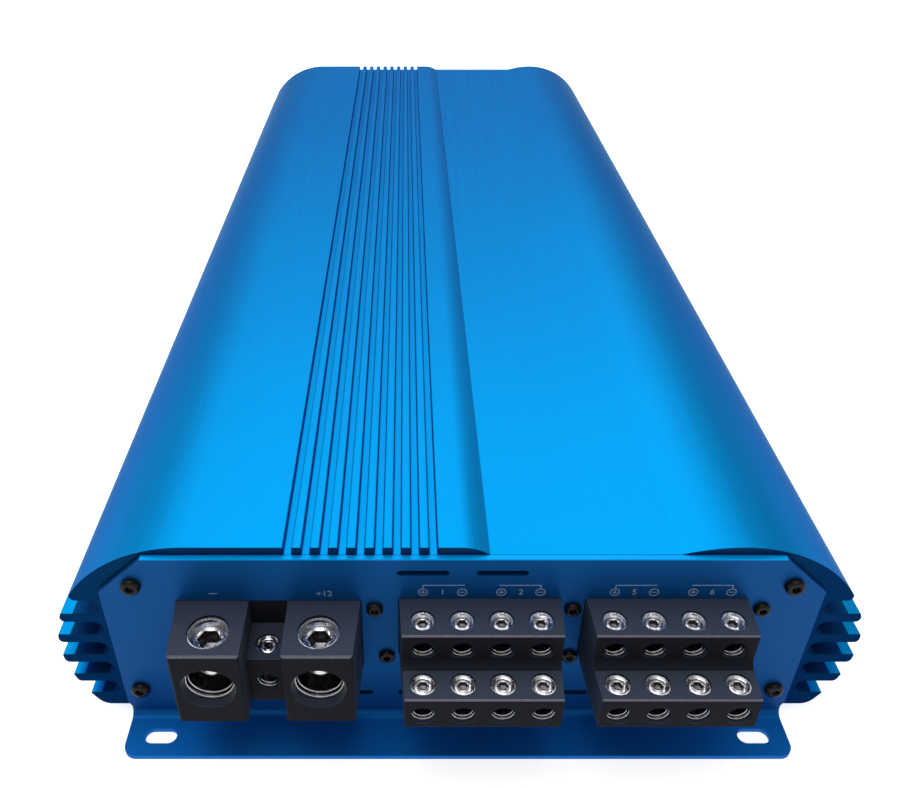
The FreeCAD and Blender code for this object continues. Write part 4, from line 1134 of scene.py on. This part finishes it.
# ---------------------------------------------------------------- sheet metal
@dataclass
class Sheetwork(SubAssembly):
    """End plates and bottom cover, bent and punched from sheet."""

    edge: float = 0.16 * MM
    cover_edge: float = 0.12 * MM

    def build(self) -> None:
        """Round the sheet edges of both plates and the cover."""
        for node in ("front_end_plate", "rear_end_plate"):
            self.soften(node, self.edge, ANODISED_SHEET_PAINTED_SHADE_AND_LIGHT)
        self.soften("bottom_cover", self.cover_edge, POWDER_BLACK)


# ---------------------------------------------------------------- screws
@dataclass(frozen=True)
class CapHead:
    """Sizes of a socket cap head, from its seat outwards, with its form as shares of them."""

    radius: float
    height: float
    hexagon: float
    shank: float
    stub: float = 1.2 * MM
    seat: float = 0.94
    foot: float = 0.06
    crown_flat: float = 0.62
    crown_start: float = 0.45
    crown_faces: int = 6
    socket_floor: float = 0.3

    def mesh(self, name: str) -> bpy.types.Mesh:
        """Low rounded head with its hexagon socket and a stub of shank.

        Args:
            name: Name of the mesh.

        Returns:
            The head, seat at the origin and socket towards +Z.
        """
        r, h, a = self.radius, self.height, self.hexagon / 2.0
        flat, start = self.crown_flat, self.crown_start
        rings = [Ring(self.shank, -self.stub), Ring(self.shank, 0.0), Ring(r * self.seat, 0.0),
                 Ring(r, self.foot * h)]
        for k in range(self.crown_faces + 1):
            turn = math.pi / 2.0 * k / self.crown_faces
            rings.append(Ring(r * (flat + (1.0 - flat) * math.cos(turn)),
                              h * (start + (1.0 - start) * math.sin(turn))))
        socket = socket_rings((a * 1.04, 0.96 * h), (a, 0.9 * h), (a, self.socket_floor * h))
        rings += [Ring(a * 1.25, h), *socket, Ring(a * 0.3, 0.2 * h)]
        return finish_mesh(turned(rings), name)


@dataclass
class PanelScrews(SubAssembly):
    """Black socket screws of both end plates and of the speaker terminals."""

    cap: CapHead = CapHead(2.55 * MM, 1.75 * MM, 2.0 * MM, 1.45 * MM)
    small_cap: CapHead = CapHead(2.2 * MM, 1.4 * MM, 1.7 * MM, 1.25 * MM)
    seed: int = 11

    def places(self, node: str, facing: float, head: CapHead) -> list[Vector]:
        """Seat centre of each screw of a node, read from its own mesh.

        Args:
            node: CAD node with one solid for each screw.
            facing: -1 where the heads point at -Y, +1 where they point at +Y.
            head: The head's sizes.

        Returns:
            The centres.
        """
        return [Vector(((low.x + high.x) / 2.0,
                        (high.y if facing > 0 else low.y) - facing * head.height,
                        (low.z + high.z) / 2.0))
                for low, high in solids_of(node)]

    def build(self) -> None:
        """Set a detailed head on every screw place, one piece for each CAD node."""
        recipe = scatter_recipe()
        rows = (("front_plate_screws", -1.0, self.cap), ("rear_plate_screws", 1.0, self.cap),
                ("terminal_retaining_screws", -1.0, self.small_cap))
        for node, facing, head in rows:
            pattern = link(node + "_pattern", head.mesh(node + "_head"))
            points = point_mesh(node + "_points", self.places(node, facing, head),
                                Vector((0.0, facing, 0.0)))
            piece = recipe.run(node + "_piece", points, {
                "Finish": BLACK_OXIDE.material(), "Pattern": pattern, "Size": 1.0,
                "Seed": self.seed})
            bpy.data.objects.remove(pattern)
            self.dress(piece, BLACK_OXIDE, stands_for=(node,))


def solids_of(node: str) -> list[tuple[Vector, Vector]]:
    """Box of each separate solid of a CAD node.

    Args:
        node: The node.

    Returns:
        Lowest and highest corner of each solid, sorted by height and then by X.
    """
    work = bmesh.new()
    work.from_mesh(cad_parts[node].data)
    bmesh.ops.remove_doubles(work, verts=work.verts, dist=1e-6)
    left = set(work.verts)
    boxes = []
    while left:
        front = [left.pop()]
        part = []
        while front:
            vert = front.pop()
            part.append(vert.co.copy())
            for edge in vert.link_edges:
                other = edge.other_vert(vert)
                if other in left:
                    left.remove(other)
                    front.append(other)
        boxes.append((Vector([min(c[i] for c in part) for i in range(3)]),
                      Vector([max(c[i] for c in part) for i in range(3)])))
    work.free()
    return sorted(boxes, key=lambda b: (round(b[0].z, 4), b[0].x))


@dataclass(frozen=True)
class GrubScrew:
    """Headless clamp screw: hexagon socket, chamfers and a cut thread.

    The tip, the thread and the socket are shares of the radius, the pitch and the height.
    """

    radius: float
    hexagon: float
    pitch: float
    chamfer: float
    tip: tuple[float, float] = (0.56, 0.74)
    thread_start: float = 0.04
    thread_depth: float = 0.36
    crest: tuple[float, float] = (0.42, 0.58)
    socket_floor: float = 0.56

    def mesh(self, name: str, low: Vector, high: Vector) -> bpy.types.Mesh:
        """Screw that fills a CAD box.

        Args:
            name: Name of the mesh.
            low: Lowest corner of the CAD screw.
            high: Highest corner of the CAD screw.

        Returns:
            The screw at its place.
        """
        height, r, a = high.z - low.z, self.radius, self.hexagon / 2.0
        rings = [Ring(r * self.tip[0], 0.0), Ring(r * self.tip[1], 0.015 * height)]
        z = self.thread_start * height
        depth = self.pitch * self.thread_depth
        shoulder = height - self.chamfer
        while z + self.pitch < shoulder - 0.12 * r:
            wide = min(r, r * 0.82 + 0.5 * z)
            rings += [Ring(wide - depth, z)] + [Ring(wide, z + self.pitch * k) for k in self.crest]
            z += self.pitch
        rings += [Ring(r - depth * 0.6, z), Ring(r, min(z + 0.2 * r, shoulder - 0.04 * r)),
                  Ring(r, shoulder), Ring(r - self.chamfer, height), Ring(a * 1.3, height)]
        rings += socket_rings((a * 1.06, height - 0.08 * r), (a, height - 0.16 * r),
                              (a, height * self.socket_floor)) + [Ring(a * 0.25, height * 0.5)]
        work = turned(rings)
        # Painted shade: faces inside the hexagon socket take the second, darker finish.
        for face in work.faces:
            if all(math.hypot(v.co.x, v.co.y) < a * 1.25 and v.co.z > height * 0.4
                   for v in face.verts):
                face.material_index = 1
        centre = (low + high) / 2.0
        bmesh.ops.translate(work, vec=Vector((centre.x, centre.y, low.z)), verts=work.verts)
        return finish_mesh(work, name)


@dataclass
class ClampScrews(SubAssembly):
    """Bright screws that travel in the cable clamps, each on a body of its own."""

    speaker: GrubScrew = GrubScrew(2.3 * MM, 2.2 * MM, 0.5 * MM, 0.78 * MM)
    power: GrubScrew = GrubScrew(4.0 * MM, 5.0 * MM, 1.0 * MM, 0.72 * MM)
    remote: GrubScrew = GrubScrew(2.0 * MM, 2.0 * MM, 0.5 * MM, 0.6 * MM)

    def kind(self, node: str) -> GrubScrew:
        """Which screw a node is."""
        if node.startswith("speaker"):
            return self.speaker
        return self.remote if node.startswith("remote") else self.power

    def build(self) -> None:
        """Make each clamp screw on its own body."""
        for node in sorted(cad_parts):
            if node.startswith("speaker_screw_") or node.endswith("_clamp_screw"):
                mesh = self.kind(node).mesh(node + "_mesh", *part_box(node))
                # The second finish is the painted shade inside the socket.
                for finish in (BRIGHT_PLATE, SCREW_SOCKET_PAINTED_SHADE):
                    mesh.materials.append(finish.material())
                self.dress(link(node + "_piece", mesh), BRIGHT_PLATE, node + "_body", (node,))


# ---------------------------------------------------------------- terminals
def split_faces(work: bmesh.types.BMesh, wall: list[bmesh.types.BMFace], axis: int,
                level: float) -> None:
    """Cut some faces along a plane.

    Args:
        work: Mesh being built.
        wall: The faces.
        axis: Axis that the plane is square to, 0 to 2.
        level: Place of the plane along it.
    """
    square = Vector([float(i == axis) for i in range(3)])
    edges, verts = {e for f in wall for e in f.edges}, {v for f in wall for v in f.verts}
    bmesh.ops.bisect_plane(work, geom=wall + list(edges) + list(verts), dist=HAIR,
                           plane_co=square * level, plane_no=square)


@dataclass(frozen=True)
class Collar:
    """Threaded collar of a clamp round its screw."""

    radius: float
    hole: float
    top: float
    seat: float
    funnel: float
    groove: float


@dataclass
class Terminals(SubAssembly):
    """Moulded terminal housings with their metal clamps."""

    housing_edge: float = 0.3 * MM
    power_edge: float = 0.35 * MM
    clamp_edge: float = 0.14 * MM
    power_bore: tuple[float, float] = (35.5 * MM, 6.3 * MM)
    remote_bore: tuple[float, float] = (30.2 * MM, 3.0 * MM)
    lower_bore: tuple[float, float] = (31.9 * MM, 3.0 * MM)
    upper_bore: tuple[float, float] = (42.7 * MM, 3.0 * MM)
    # Run into each bore that keeps the bright plating before the painted shade starts.
    bright_run: float = 1.3 * MM
    edge_zone: float = 1.0 * MM
    power_collar: Collar = Collar(5.2 * MM, 4.05 * MM, 47.1 * MM, 45.2 * MM, 0.4 * MM, 0.3 * MM)
    remote_collar: Collar = Collar(3.1 * MM, 2.05 * MM, 38.8 * MM, 38.5 * MM, 0.6 * MM, 0.1 * MM)
    lower_collar: Collar = Collar(3.1 * MM, 2.35 * MM, 37.7 * MM, 37.5 * MM, 0.5 * MM, 0.1 * MM)
    upper_collar: Collar = Collar(3.1 * MM, 2.35 * MM, 48.1 * MM, 47.4 * MM, 0.3 * MM, 0.12 * MM)
    cable_clamps: tuple[str, ...] = ("ground_clamp", "positive_clamp", "remote_clamp")
    sides: tuple[str, ...] = ("left", "right")
    groove_pitch: float = 0.3 * MM
    collar_rim: float = 0.32 * MM

    def collars(self, node: str) -> tuple[Collar, ...]:
        """Collars of a clamp node."""
        if node.startswith("speaker"):
            return (self.lower_collar, self.upper_collar)
        return (self.remote_collar if node.startswith("remote") else self.power_collar,)

    def thread(self, work: bmesh.types.BMesh, axis: Vector, collar: Collar) -> None:
        """Open a collar's hole upwards into a grooved funnel round the screw's top.

        Args:
            work: The clamp's mesh.
            axis: Point on the screw's axis.
            collar: The collar's sizes.
        """
        def reach(point: Vector) -> float:
            """Distance of a point from the screw's axis."""
            return math.hypot(point.x - axis.x, point.y - axis.y)

        slack = 0.04 * MM
        floor, brim = collar.seat - collar.funnel, collar.top - self.clamp_edge
        count = int((brim - floor) / self.groove_pitch)
        levels = [floor + k * self.groove_pitch for k in range(count)]
        for level in levels:
            wall = [f for f in work.faces
                    if all(abs(reach(v.co) - collar.hole) < slack for v in f.verts)]
            split_faces(work, wall, 2, level)
        flare = collar.radius - self.collar_rim - collar.hole
        for vert in work.verts:
            away = reach(vert.co)
            rise = vert.co.z - floor
            if rise < HAIR or abs(away - collar.hole) > 2.0 * self.clamp_edge \
                    or vert.co.z < brim - slack and abs(away - collar.hole) > slack:
                continue
            grooved = any(k % 2 and abs(vert.co.z - level) < 1e-6 for k, level in enumerate(levels))
            share = min(rise / (brim - floor), 1.0)
            wide = away + flare * share + (collar.groove if grooved else 0.0)
            vert.co.x = axis.x + (vert.co.x - axis.x) * wide / away
            vert.co.y = axis.y + (vert.co.y - axis.y) * wide / away

    def bores(self, node: str) -> list[tuple[Vector, float]]:
        """Cable bores of a clamp node.

        Args:
            node: The node.

        Returns:
            Mouth centre and radius of each bore.
        """
        result = []
        for low, high in solids_of(node):
            if node.startswith("speaker"):
                z, radius = self.lower_bore if low.z < self.lower_bore[0] else self.upper_bore
            else:
                z, radius = self.remote_bore if node.startswith("remote") else self.power_bore
            result.append((Vector(((low.x + high.x) / 2.0, low.y, z)), radius))
        return result

    def screw_axes(self, node: str, collar: Collar) -> list[Vector]:
        """Axis of each screw of a clamp node whose seat is at a collar's level.

        Args:
            node: The clamp node.
            collar: The collar.

        Returns:
            Points on the axes.
        """
        start = node.replace("speaker_clamps_", "speaker_screw_")
        names = [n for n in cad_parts
                 if n == node + "_screw" or node.startswith("speaker") and n.startswith(start)]
        boxes = [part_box(n) for n in sorted(names)]
        return [(low + high) / 2.0 for low, high in boxes if abs(high.z - collar.seat) < 0.5 * MM]

    def housing(self, node: str, width: float) -> None:
        """One housing, with a painted highlight on its front upper edges and painted shade on its
        finely textured front faces.

        Args:
            node: The node.
            width: Width of its rounds.
        """
        low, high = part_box(node)
        step = self.remote_collar.top if node.startswith("power") else high.z

        def paint_edge_highlight_and_front_shade(work: bmesh.types.BMesh) -> None:
            """Give the narrow rounds between a top and the front below it the painted highlight,
            then the fronts the painted shade.
            """
            for face in work.faces:
                spot, normal = face.calc_center_median(), face.normal
                convex = spot.z > high.z - self.edge_zone or spot.y < low.y + self.edge_zone \
                    or abs(spot.z - step) < self.edge_zone
                if convex and normal.z > 0.3 and normal.y < -0.3:
                    face.material_index = 1
                elif normal.y < -0.2:
                    face.material_index = 2

        # Index 1 is the painted highlight on the edge rounds, index 2 the painted shade on the
        # fronts.
        self.soften(node, width, TERMINAL_PLASTIC, segments=3, change=paint_edge_highlight_and_front_shade,
                    others=(TERMINAL_EDGE_PAINTED_HIGHLIGHT, TERMINAL_FRONT_PAINTED_SHADE))

    def mouth_rings(self) -> None:
        """Rounded bright lips at every cable bore, two to a bore, one piece for each bore size."""
        recipe = ring_recipe()
        nodes = self.cable_clamps + tuple("speaker_clamps_" + side for side in self.sides)
        mouths = [mouth for node in nodes for mouth in self.bores(node)]
        for name, large in (("power_bore_lips", True), ("wire_bore_lips", False)):
            chosen = [(place, radius) for place, radius in mouths
                      if (radius > 2.0 * self.remote_bore[1]) == large]
            radius = chosen[0][1]
            wire = radius * (0.045 if large else 0.07)
            spots = [(place + Vector((0.0, drop, 0.0)), size) for place, _ in chosen
                     for drop, size in ((wire * 0.5, 1.0), (wire * 4.5, 0.93))]
            points = point_mesh(name + "_points", [p for p, _ in spots], Vector((0.0, -1.0, 0.0)))
            sizes = points.attributes.new("size", "FLOAT", "POINT")
            for item, (_, size) in zip(sizes.data, spots):
                item.value = size
            piece = recipe.run(name, points, {"Finish": BORE_LIP.material(),
                                              "Radius": radius - wire * 0.6, "Wire": wire})
            mark = bmesh.new()
            mark.from_mesh(piece.data)
            mark_smooth(mark)
            mark.to_mesh(piece.data)
            mark.free()
            self.dress(piece, BORE_LIP)

    def clamp(self, node: str) -> None:
        """One clamp node, bright outside, with painted shade inside its cable bores.

        Args:
            node: The node.
        """
        bores = self.bores(node)

        def paint_bore_shade(work: bmesh.types.BMesh) -> None:
            """Split the bore walls a little way in and give what lies behind the painted shade."""
            for mouth, radius in bores:
                start = mouth.y + self.bright_run

                def within(face: bmesh.types.BMFace) -> bool:
                    """Whether a face lies in this bore."""
                    return all(math.hypot(v.co.x - mouth.x, v.co.z - mouth.z) < radius + 0.03 * MM
                               and v.co.y > mouth.y + 0.5 * self.clamp_edge for v in face.verts)

                split_faces(work, [face for face in work.faces if within(face)], 1, start)
                for face in work.faces:
                    if face.calc_center_median().y > start and within(face):
                        face.material_index = 1
            for collar in self.collars(node):
                for axis in self.screw_axes(node, collar):
                    self.thread(work, axis, collar)

        # Index 1 is the painted shade inside the bores.
        self.soften(node, self.clamp_edge, CLAMP_PLATE, change=paint_bore_shade, others=(CLAMP_BORE_PAINTED_SHADE,))

    def build(self) -> None:
        """Round the housings and clamps of the power and speaker terminals."""
        self.housing("power_terminal_housing", self.power_edge)
        for side in self.sides:
            self.housing("speaker_housing_" + side, self.housing_edge)
            self.clamp("speaker_clamps_" + side)
        for node in self.cable_clamps:
            self.clamp(node)
        self.mouth_rings()


# ---------------------------------------------------------------- input end
@dataclass
class InputEnd(SubAssembly):
    """Sockets, adjusters, switches and lamps of the rear plate."""

    edge: float = 0.12 * MM

    def build(self) -> None:
        """Round the pieces that show through the rear plate."""
        rows = (("rca_housings", SOCKET_PLASTIC), ("rca_sleeves", SOCKET_METAL),
                ("rca_inserts", SOCKET_INSERT), ("remote_level_socket", SOCKET_PLASTIC),
                ("slide_switch_bodies", SOCKET_PLASTIC), ("potentiometer_bodies", SOCKET_PLASTIC),
                ("status_leds", LAMP_LENS))
        for node, finish in rows:
            self.soften(node, self.edge, finish)
        for node in sorted(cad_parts):
            if "knob" in node or node.endswith("_switch") or node.startswith("filter_switch"):
                self.soften(node, self.edge, CONTROL_PLASTIC, node + "_body")


# ---------------------------------------------------------------- printed marks
class Mark(Enum):
    """Sign inside a printed ring."""

    PLUS = "+"
    MINUS = "-"


@dataclass
class PanelPrint(SubAssembly):
    """Marks printed on the two end plates: rings, lines, ticks and plain numbers."""

    facing: float = -1.0
    sheet: float = 1.5 * MM
    film: float = 0.03 * MM
    line: float = 0.24 * MM
    ring_outer: float = 1.3 * MM
    figure: float = 2.7 * MM
    polarity_z: float = 50.8 * MM
    bracket_z: float = 53.3 * MM
    ways: tuple[tuple[float, ...], ...] = ((-10.0, 0.0, 10.0, 20.0), (39.0, 49.0, 59.0, 68.8))
    numbers: tuple[tuple[str, str], ...] = (("1", "2"), ("5", "6"))
    bracket_drop: float = 1.1 * MM
    bracket_gap: float = 4.4 * MM
    minus_line: tuple[float, ...] = (-64.8 * MM, 50.3 * MM, -62.6 * MM, 50.3 * MM)
    plus_place: tuple[float, float] = (-35.3 * MM, 50.2 * MM)
    tick_reach: tuple[float, float] = (4.3 * MM, 5.3 * MM)
    switch_step: float = 3.0 * MM
    switch_marks: tuple[float, float] = (4.6 * MM, 5.6 * MM)

    def __post_init__(self) -> None:
        """Find the printed face of the plate."""
        low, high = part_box("heatsink_extrusion")
        self.face_y = low.y - self.sheet if self.facing < 0 else high.y + self.sheet
        self.work = bmesh.new()

    def point(self, x: float, z: float) -> Vector:
        """Point on the printed face."""
        return Vector((x, self.face_y, z))

    def patch(self, outline: list[tuple[float, float]]) -> None:
        """One filled flat shape.

        Args:
            outline: Its corners in X and Z.
        """
        self.work.faces.new([self.work.verts.new(self.point(x, z)) for x, z in outline])

    def bar(self, x0: float, z0: float, x1: float, z1: float) -> None:
        """Straight line between two points, as wide as the printed line."""
        along = Vector((x1 - x0, z1 - z0)).normalized() * (self.line / 2.0)
        a, b = -along.y, along.x
        self.patch([(x0 - a, z0 - b), (x1 - a, z1 - b), (x1 + a, z1 + b), (x0 + a, z0 + b)])

    def ring(self, x: float, z: float, sign: Mark, steps: int = 28) -> None:
        """Ring with a sign inside.

        Args:
            x: Centre.
            z: Centre.
            sign: Sign inside it.
            steps: Faces round the ring.
        """
        inner, outer = self.ring_outer - self.line, self.ring_outer
        for k in range(steps):
            a, b = 2.0 * math.pi * k / steps, 2.0 * math.pi * (k + 1) / steps
            self.patch([(x + r * math.cos(t), z + r * math.sin(t))
                        for r, t in ((inner, a), (outer, a), (outer, b), (inner, b))])
        arm = inner * 0.62
        self.bar(x - arm, z, x + arm, z)
        if sign is Mark.PLUS:
            self.bar(x, z + self.line / 2.0, x, z + arm)
            self.bar(x, z - self.line / 2.0, x, z - arm)

    def text(self, words: str, x: float, z: float, size: float) -> None:
        """Plain figures centred on a point, read from outside.

        Args:
            words: The figures.
            x: Centre.
            z: Centre.
            size: Height of the font.
        """
        curve = bpy.data.curves.new("figure", "FONT")
        curve.body, curve.size = words, size
        curve.align_x, curve.align_y = "CENTER", "CENTER"
        flat = plain_mesh(link("figure_maker", curve))
        verts = [self.work.verts.new(self.point(x - self.facing * v.co.x, z + v.co.y))
                 for v in flat.vertices]
        for face in flat.polygons:
            self.work.faces.new([verts[i] for i in face.vertices])
        bpy.data.meshes.remove(flat)

    def terminal_end(self) -> None:
        """Polarity rings, brackets and way numbers over the speaker terminals."""
        for group, pair in zip(self.ways, self.numbers):
            xs = [x * MM for x in group]
            for k, x in enumerate(xs):
                self.ring(x, self.polarity_z, Mark.MINUS if k % 2 else Mark.PLUS)
            for k, figure in enumerate(pair):
                self.text(figure, (xs[2 * k] + xs[2 * k + 1]) / 2.0, self.polarity_z, self.figure)
            middle, z = (xs[0] + xs[3]) / 2.0, self.bracket_z
            for end in (xs[0], xs[3]):
                self.bar(end, z, end, z - self.bracket_drop)
                self.bar(end, z, middle + math.copysign(self.bracket_gap, end - middle), z)
        self.bar(*self.minus_line)
        self.text("+12", *self.plus_place, self.figure)

    def input_end(self) -> None:
        """Ticks round the knobs, end marks at the switches and numbers by the sockets."""
        near, far = self.tick_reach
        for node in sorted(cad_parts):
            if "knob" not in node and "switch" not in node or node == "slide_switch_bodies":
                continue
            low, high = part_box(node)
            centre = (low + high) / 2.0
            if "knob" in node:
                for k in range(11):
                    angle = math.radians(-60.0 + 30.0 * k)
                    start = far - (far - near) * (1.0 if k % 5 == 0 else 0.55)
                    self.bar(centre.x + start * math.cos(angle), centre.z + start * math.sin(angle),
                             centre.x + far * math.cos(angle), centre.z + far * math.sin(angle))
            else:
                low_mark, high_mark = self.switch_marks
                for k in (-1.0, 0.0, 1.0):
                    x = centre.x + k * self.switch_step
                    self.bar(x, centre.z + low_mark, x, centre.z + high_mark)
        for k, (low, high) in enumerate(solids_of("rca_sleeves")):
            self.text(str(k + 1), (low.x + high.x) / 2.0, high.z + 2.3 * MM, self.figure * 0.85)

    def build(self) -> None:
        """Print the marks of one plate as one thin piece."""
        if self.facing < 0:
            self.terminal_end()
        else:
            self.input_end()
        work = self.work
        up = Vector((0.0, self.facing, 0.0))
        bmesh.ops.remove_doubles(work, verts=work.verts, dist=PRINT_WELD)
        for face in work.faces:
            face.normal_update()
            if face.normal.dot(up) < 0.0:
                face.normal_flip()
        top = bmesh.ops.extrude_face_region(work, geom=work.faces[:], use_keep_orig=True)
        raised = [v for v in top["geom"] if isinstance(v, bmesh.types.BMVert)]
        bmesh.ops.translate(work, vec=up * self.film, verts=raised)
        bmesh.ops.recalc_face_normals(work, faces=work.faces)
        for face in work.faces:
            face.smooth = False
        name = "front_print" if self.facing < 0 else "rear_print"
        mesh = bpy.data.meshes.new(name)
        work.to_mesh(mesh)
        work.free()
        self.dress(link(name, mesh), PANEL_PRINT)


# ---------------------------------------------------------------- inner parts
@dataclass
class InnerParts(SubAssembly):
    """Boards and components inside the extrusion, kept from the CAD."""

    def build(self) -> None:
        """Give every inner node its finish."""
        rows = (("main_circuit_board", CIRCUIT_BOARD), ("input_circuit_board", CIRCUIT_BOARD),
                ("power_transistors", TRANSISTOR_EPOXY), ("transistor_clamp_bars", ZINC_STEEL),
                ("clamp_bar_screws", ZINC_STEEL), ("filter_capacitors", CAPACITOR_SLEEVE),
                ("toroid_transformers", COPPER_WINDING), ("output_inductors", COPPER_WINDING),
                ("bottom_cover_screws", BLACK_OXIDE))
        for node, finish in rows:
            self.keep(node, finish)


# ---------------------------------------------------------------- studio
@dataclass(frozen=True)
class Lamp:
    """One soft white lamp that points at a spot on the object."""

    name: str
    place: Triple
    target: Triple
    width: float
    height: float
    watts: float

    def build(self) -> None:
        """Add the lamp to the scene."""
        data = bpy.data.lights.new(self.name, "AREA")
        data.shape = "RECTANGLE"
        data.size, data.size_y, data.energy = self.width, self.height, self.watts
        lamp = link(self.name, data)
        lamp.location = self.place
        way = Vector(self.target) - Vector(self.place)
        lamp.rotation_euler = way.to_track_quat("-Z", "Y").to_euler()


@dataclass
class Studio:
    """Pale floor, soft lamps, plain world and the camera."""

    floor_half: float = 6.0
    floor_tone: float = 0.58
    floor_roughness: float = 0.9
    floor_lift: float = 0.75
    low_sky: float = 0.3
    high_sky: float = 1.0
    high_sky_from: float = 0.6
    back_share: float = 0.55
    side_shade: float = 0.62
    side_span: tuple[float, float] = (0.15, 0.7)
    horizon_span: tuple[float, float] = (0.15, 0.35)
    lamps: tuple[Lamp, ...] = (
        Lamp("overhead", (-0.5, 1.0, 1.9), (0.0, 0.0, 0.0), 2.8, 1.8, 13.5),
        Lamp("above_terminals", (-0.2, -0.45, 1.6), (0.0, -0.2, 0.0), 1.0, 0.7, 7.0),
        Lamp("side_left", (-1.5, 0.4, 1.3), (0.0, 0.0, 0.03), 0.8, 1.2, 3.0),
    )
    camera_place: Triple = (-0.0146, -0.3925, 0.2202)
    camera_tilt: float = 55.77
    lens: float = 34.78
    film_width: float = 36.0
    shift: float = 0.0593
    nearest: float = 0.01

    def floor(self) -> None:
        """Plain pale floor under the object."""
        half = self.floor_half
        mesh = bpy.data.meshes.new("floor")
        mesh.from_pydata([(-half, -half, 0), (half, -half, 0), (half, half, 0), (-half, half, 0)],
                         [], [(0, 1, 2, 3)])
        bench = ShaderBench("floor")
        bench.fill(bench.shader, {
            "Base Color": (self.floor_tone,) * 3 + (1.0,), "Roughness": self.floor_roughness,
            "Emission Color": WHITE,
            "Emission Strength": bench.calc("MULTIPLY", bench.seen(), self.floor_lift)})
        mesh.materials.append(bench.material)
        link("floor", mesh)

    def world(self) -> None:
        """Plain grey world, brighter overhead and beyond the far end, white behind the object."""
        world = bpy.data.worlds.new("studio")
        world.use_nodes = True
        bench = NodeBench(world.node_tree)
        bench.tree.nodes.clear()
        way = bench.add("ShaderNodeTexCoord").outputs["Generated"]
        x, y, z = bench.add("ShaderNodeSeparateXYZ", {0: way}).outputs
        level = bench.calc(
            "MULTIPLY", bench.remap(z, 0.0, self.high_sky_from, self.low_sky, self.high_sky),
            bench.remap(y, -1.0, 1.0, 1.0 - self.back_share, 1.0))
        pick = bench.add("ShaderNodeMix", {0: bench.seen(), 2: level,
                                           3: self.shown_sky(bench, x, z)}).outputs[0]
        light = bench.add("ShaderNodeBackground", {"Strength": pick, "Color": WHITE})
        bench.add("ShaderNodeOutputWorld", {"Surface": light.outputs[0]})
        bpy.context.scene.world = world

    def shown_sky(self, bench: NodeBench, x: Socket, z: Socket) -> Socket:
        """Sky that is seen and mirrored: white, with greyer walls above the horizon at the sides.

        Args:
            bench: The world's nodes.
            x: The direction's X.
            z: The direction's Z.

        Returns:
            The strength of the sky.
        """
        aside = bench.remap(bench.calc("ABSOLUTE", x), *self.side_span, 0.0, self.side_shade,
                            "SMOOTHSTEP")
        above = bench.remap(z, *self.horizon_span, 0.0, 1.0, "SMOOTHSTEP")
        return bench.calc("SUBTRACT", 1.0, bench.calc("MULTIPLY", aside, above))

    def camera(self) -> None:
        """Camera that looks down on the terminal end along the body."""
        data = bpy.data.cameras.new("camera")
        data.sensor_width, data.lens, data.shift_x = self.film_width, self.lens, self.shift
        data.clip_start = self.nearest
        camera = link("camera", data)
        camera.location = self.camera_place
        camera.rotation_euler = (math.radians(self.camera_tilt), 0.0, 0.0)
        bpy.context.scene.camera = camera

    def build(self) -> None:
        """Set up the whole studio."""
        self.floor()
        self.world()
        self.camera()
        for lamp in self.lamps:
            lamp.build()
        bpy.context.scene.view_settings.view_transform = "Standard"


def main() -> None:
    """Build the amplifier group by group, then the studio around it."""
    logging.basicConfig(level=logging.INFO, format="%(message)s")
    groups = (Heatsink(), Sheetwork(), PanelScrews(), ClampScrews(), Terminals(), InputEnd(),
              PanelPrint(facing=-1.0), PanelPrint(facing=1.0), InnerParts())
    for group in groups:
        group.build()
        LOG.info("%s: %s", type(group).__name__, ", ".join(group.made))
    Studio().build()


if __name__ == "__main__":
    main()
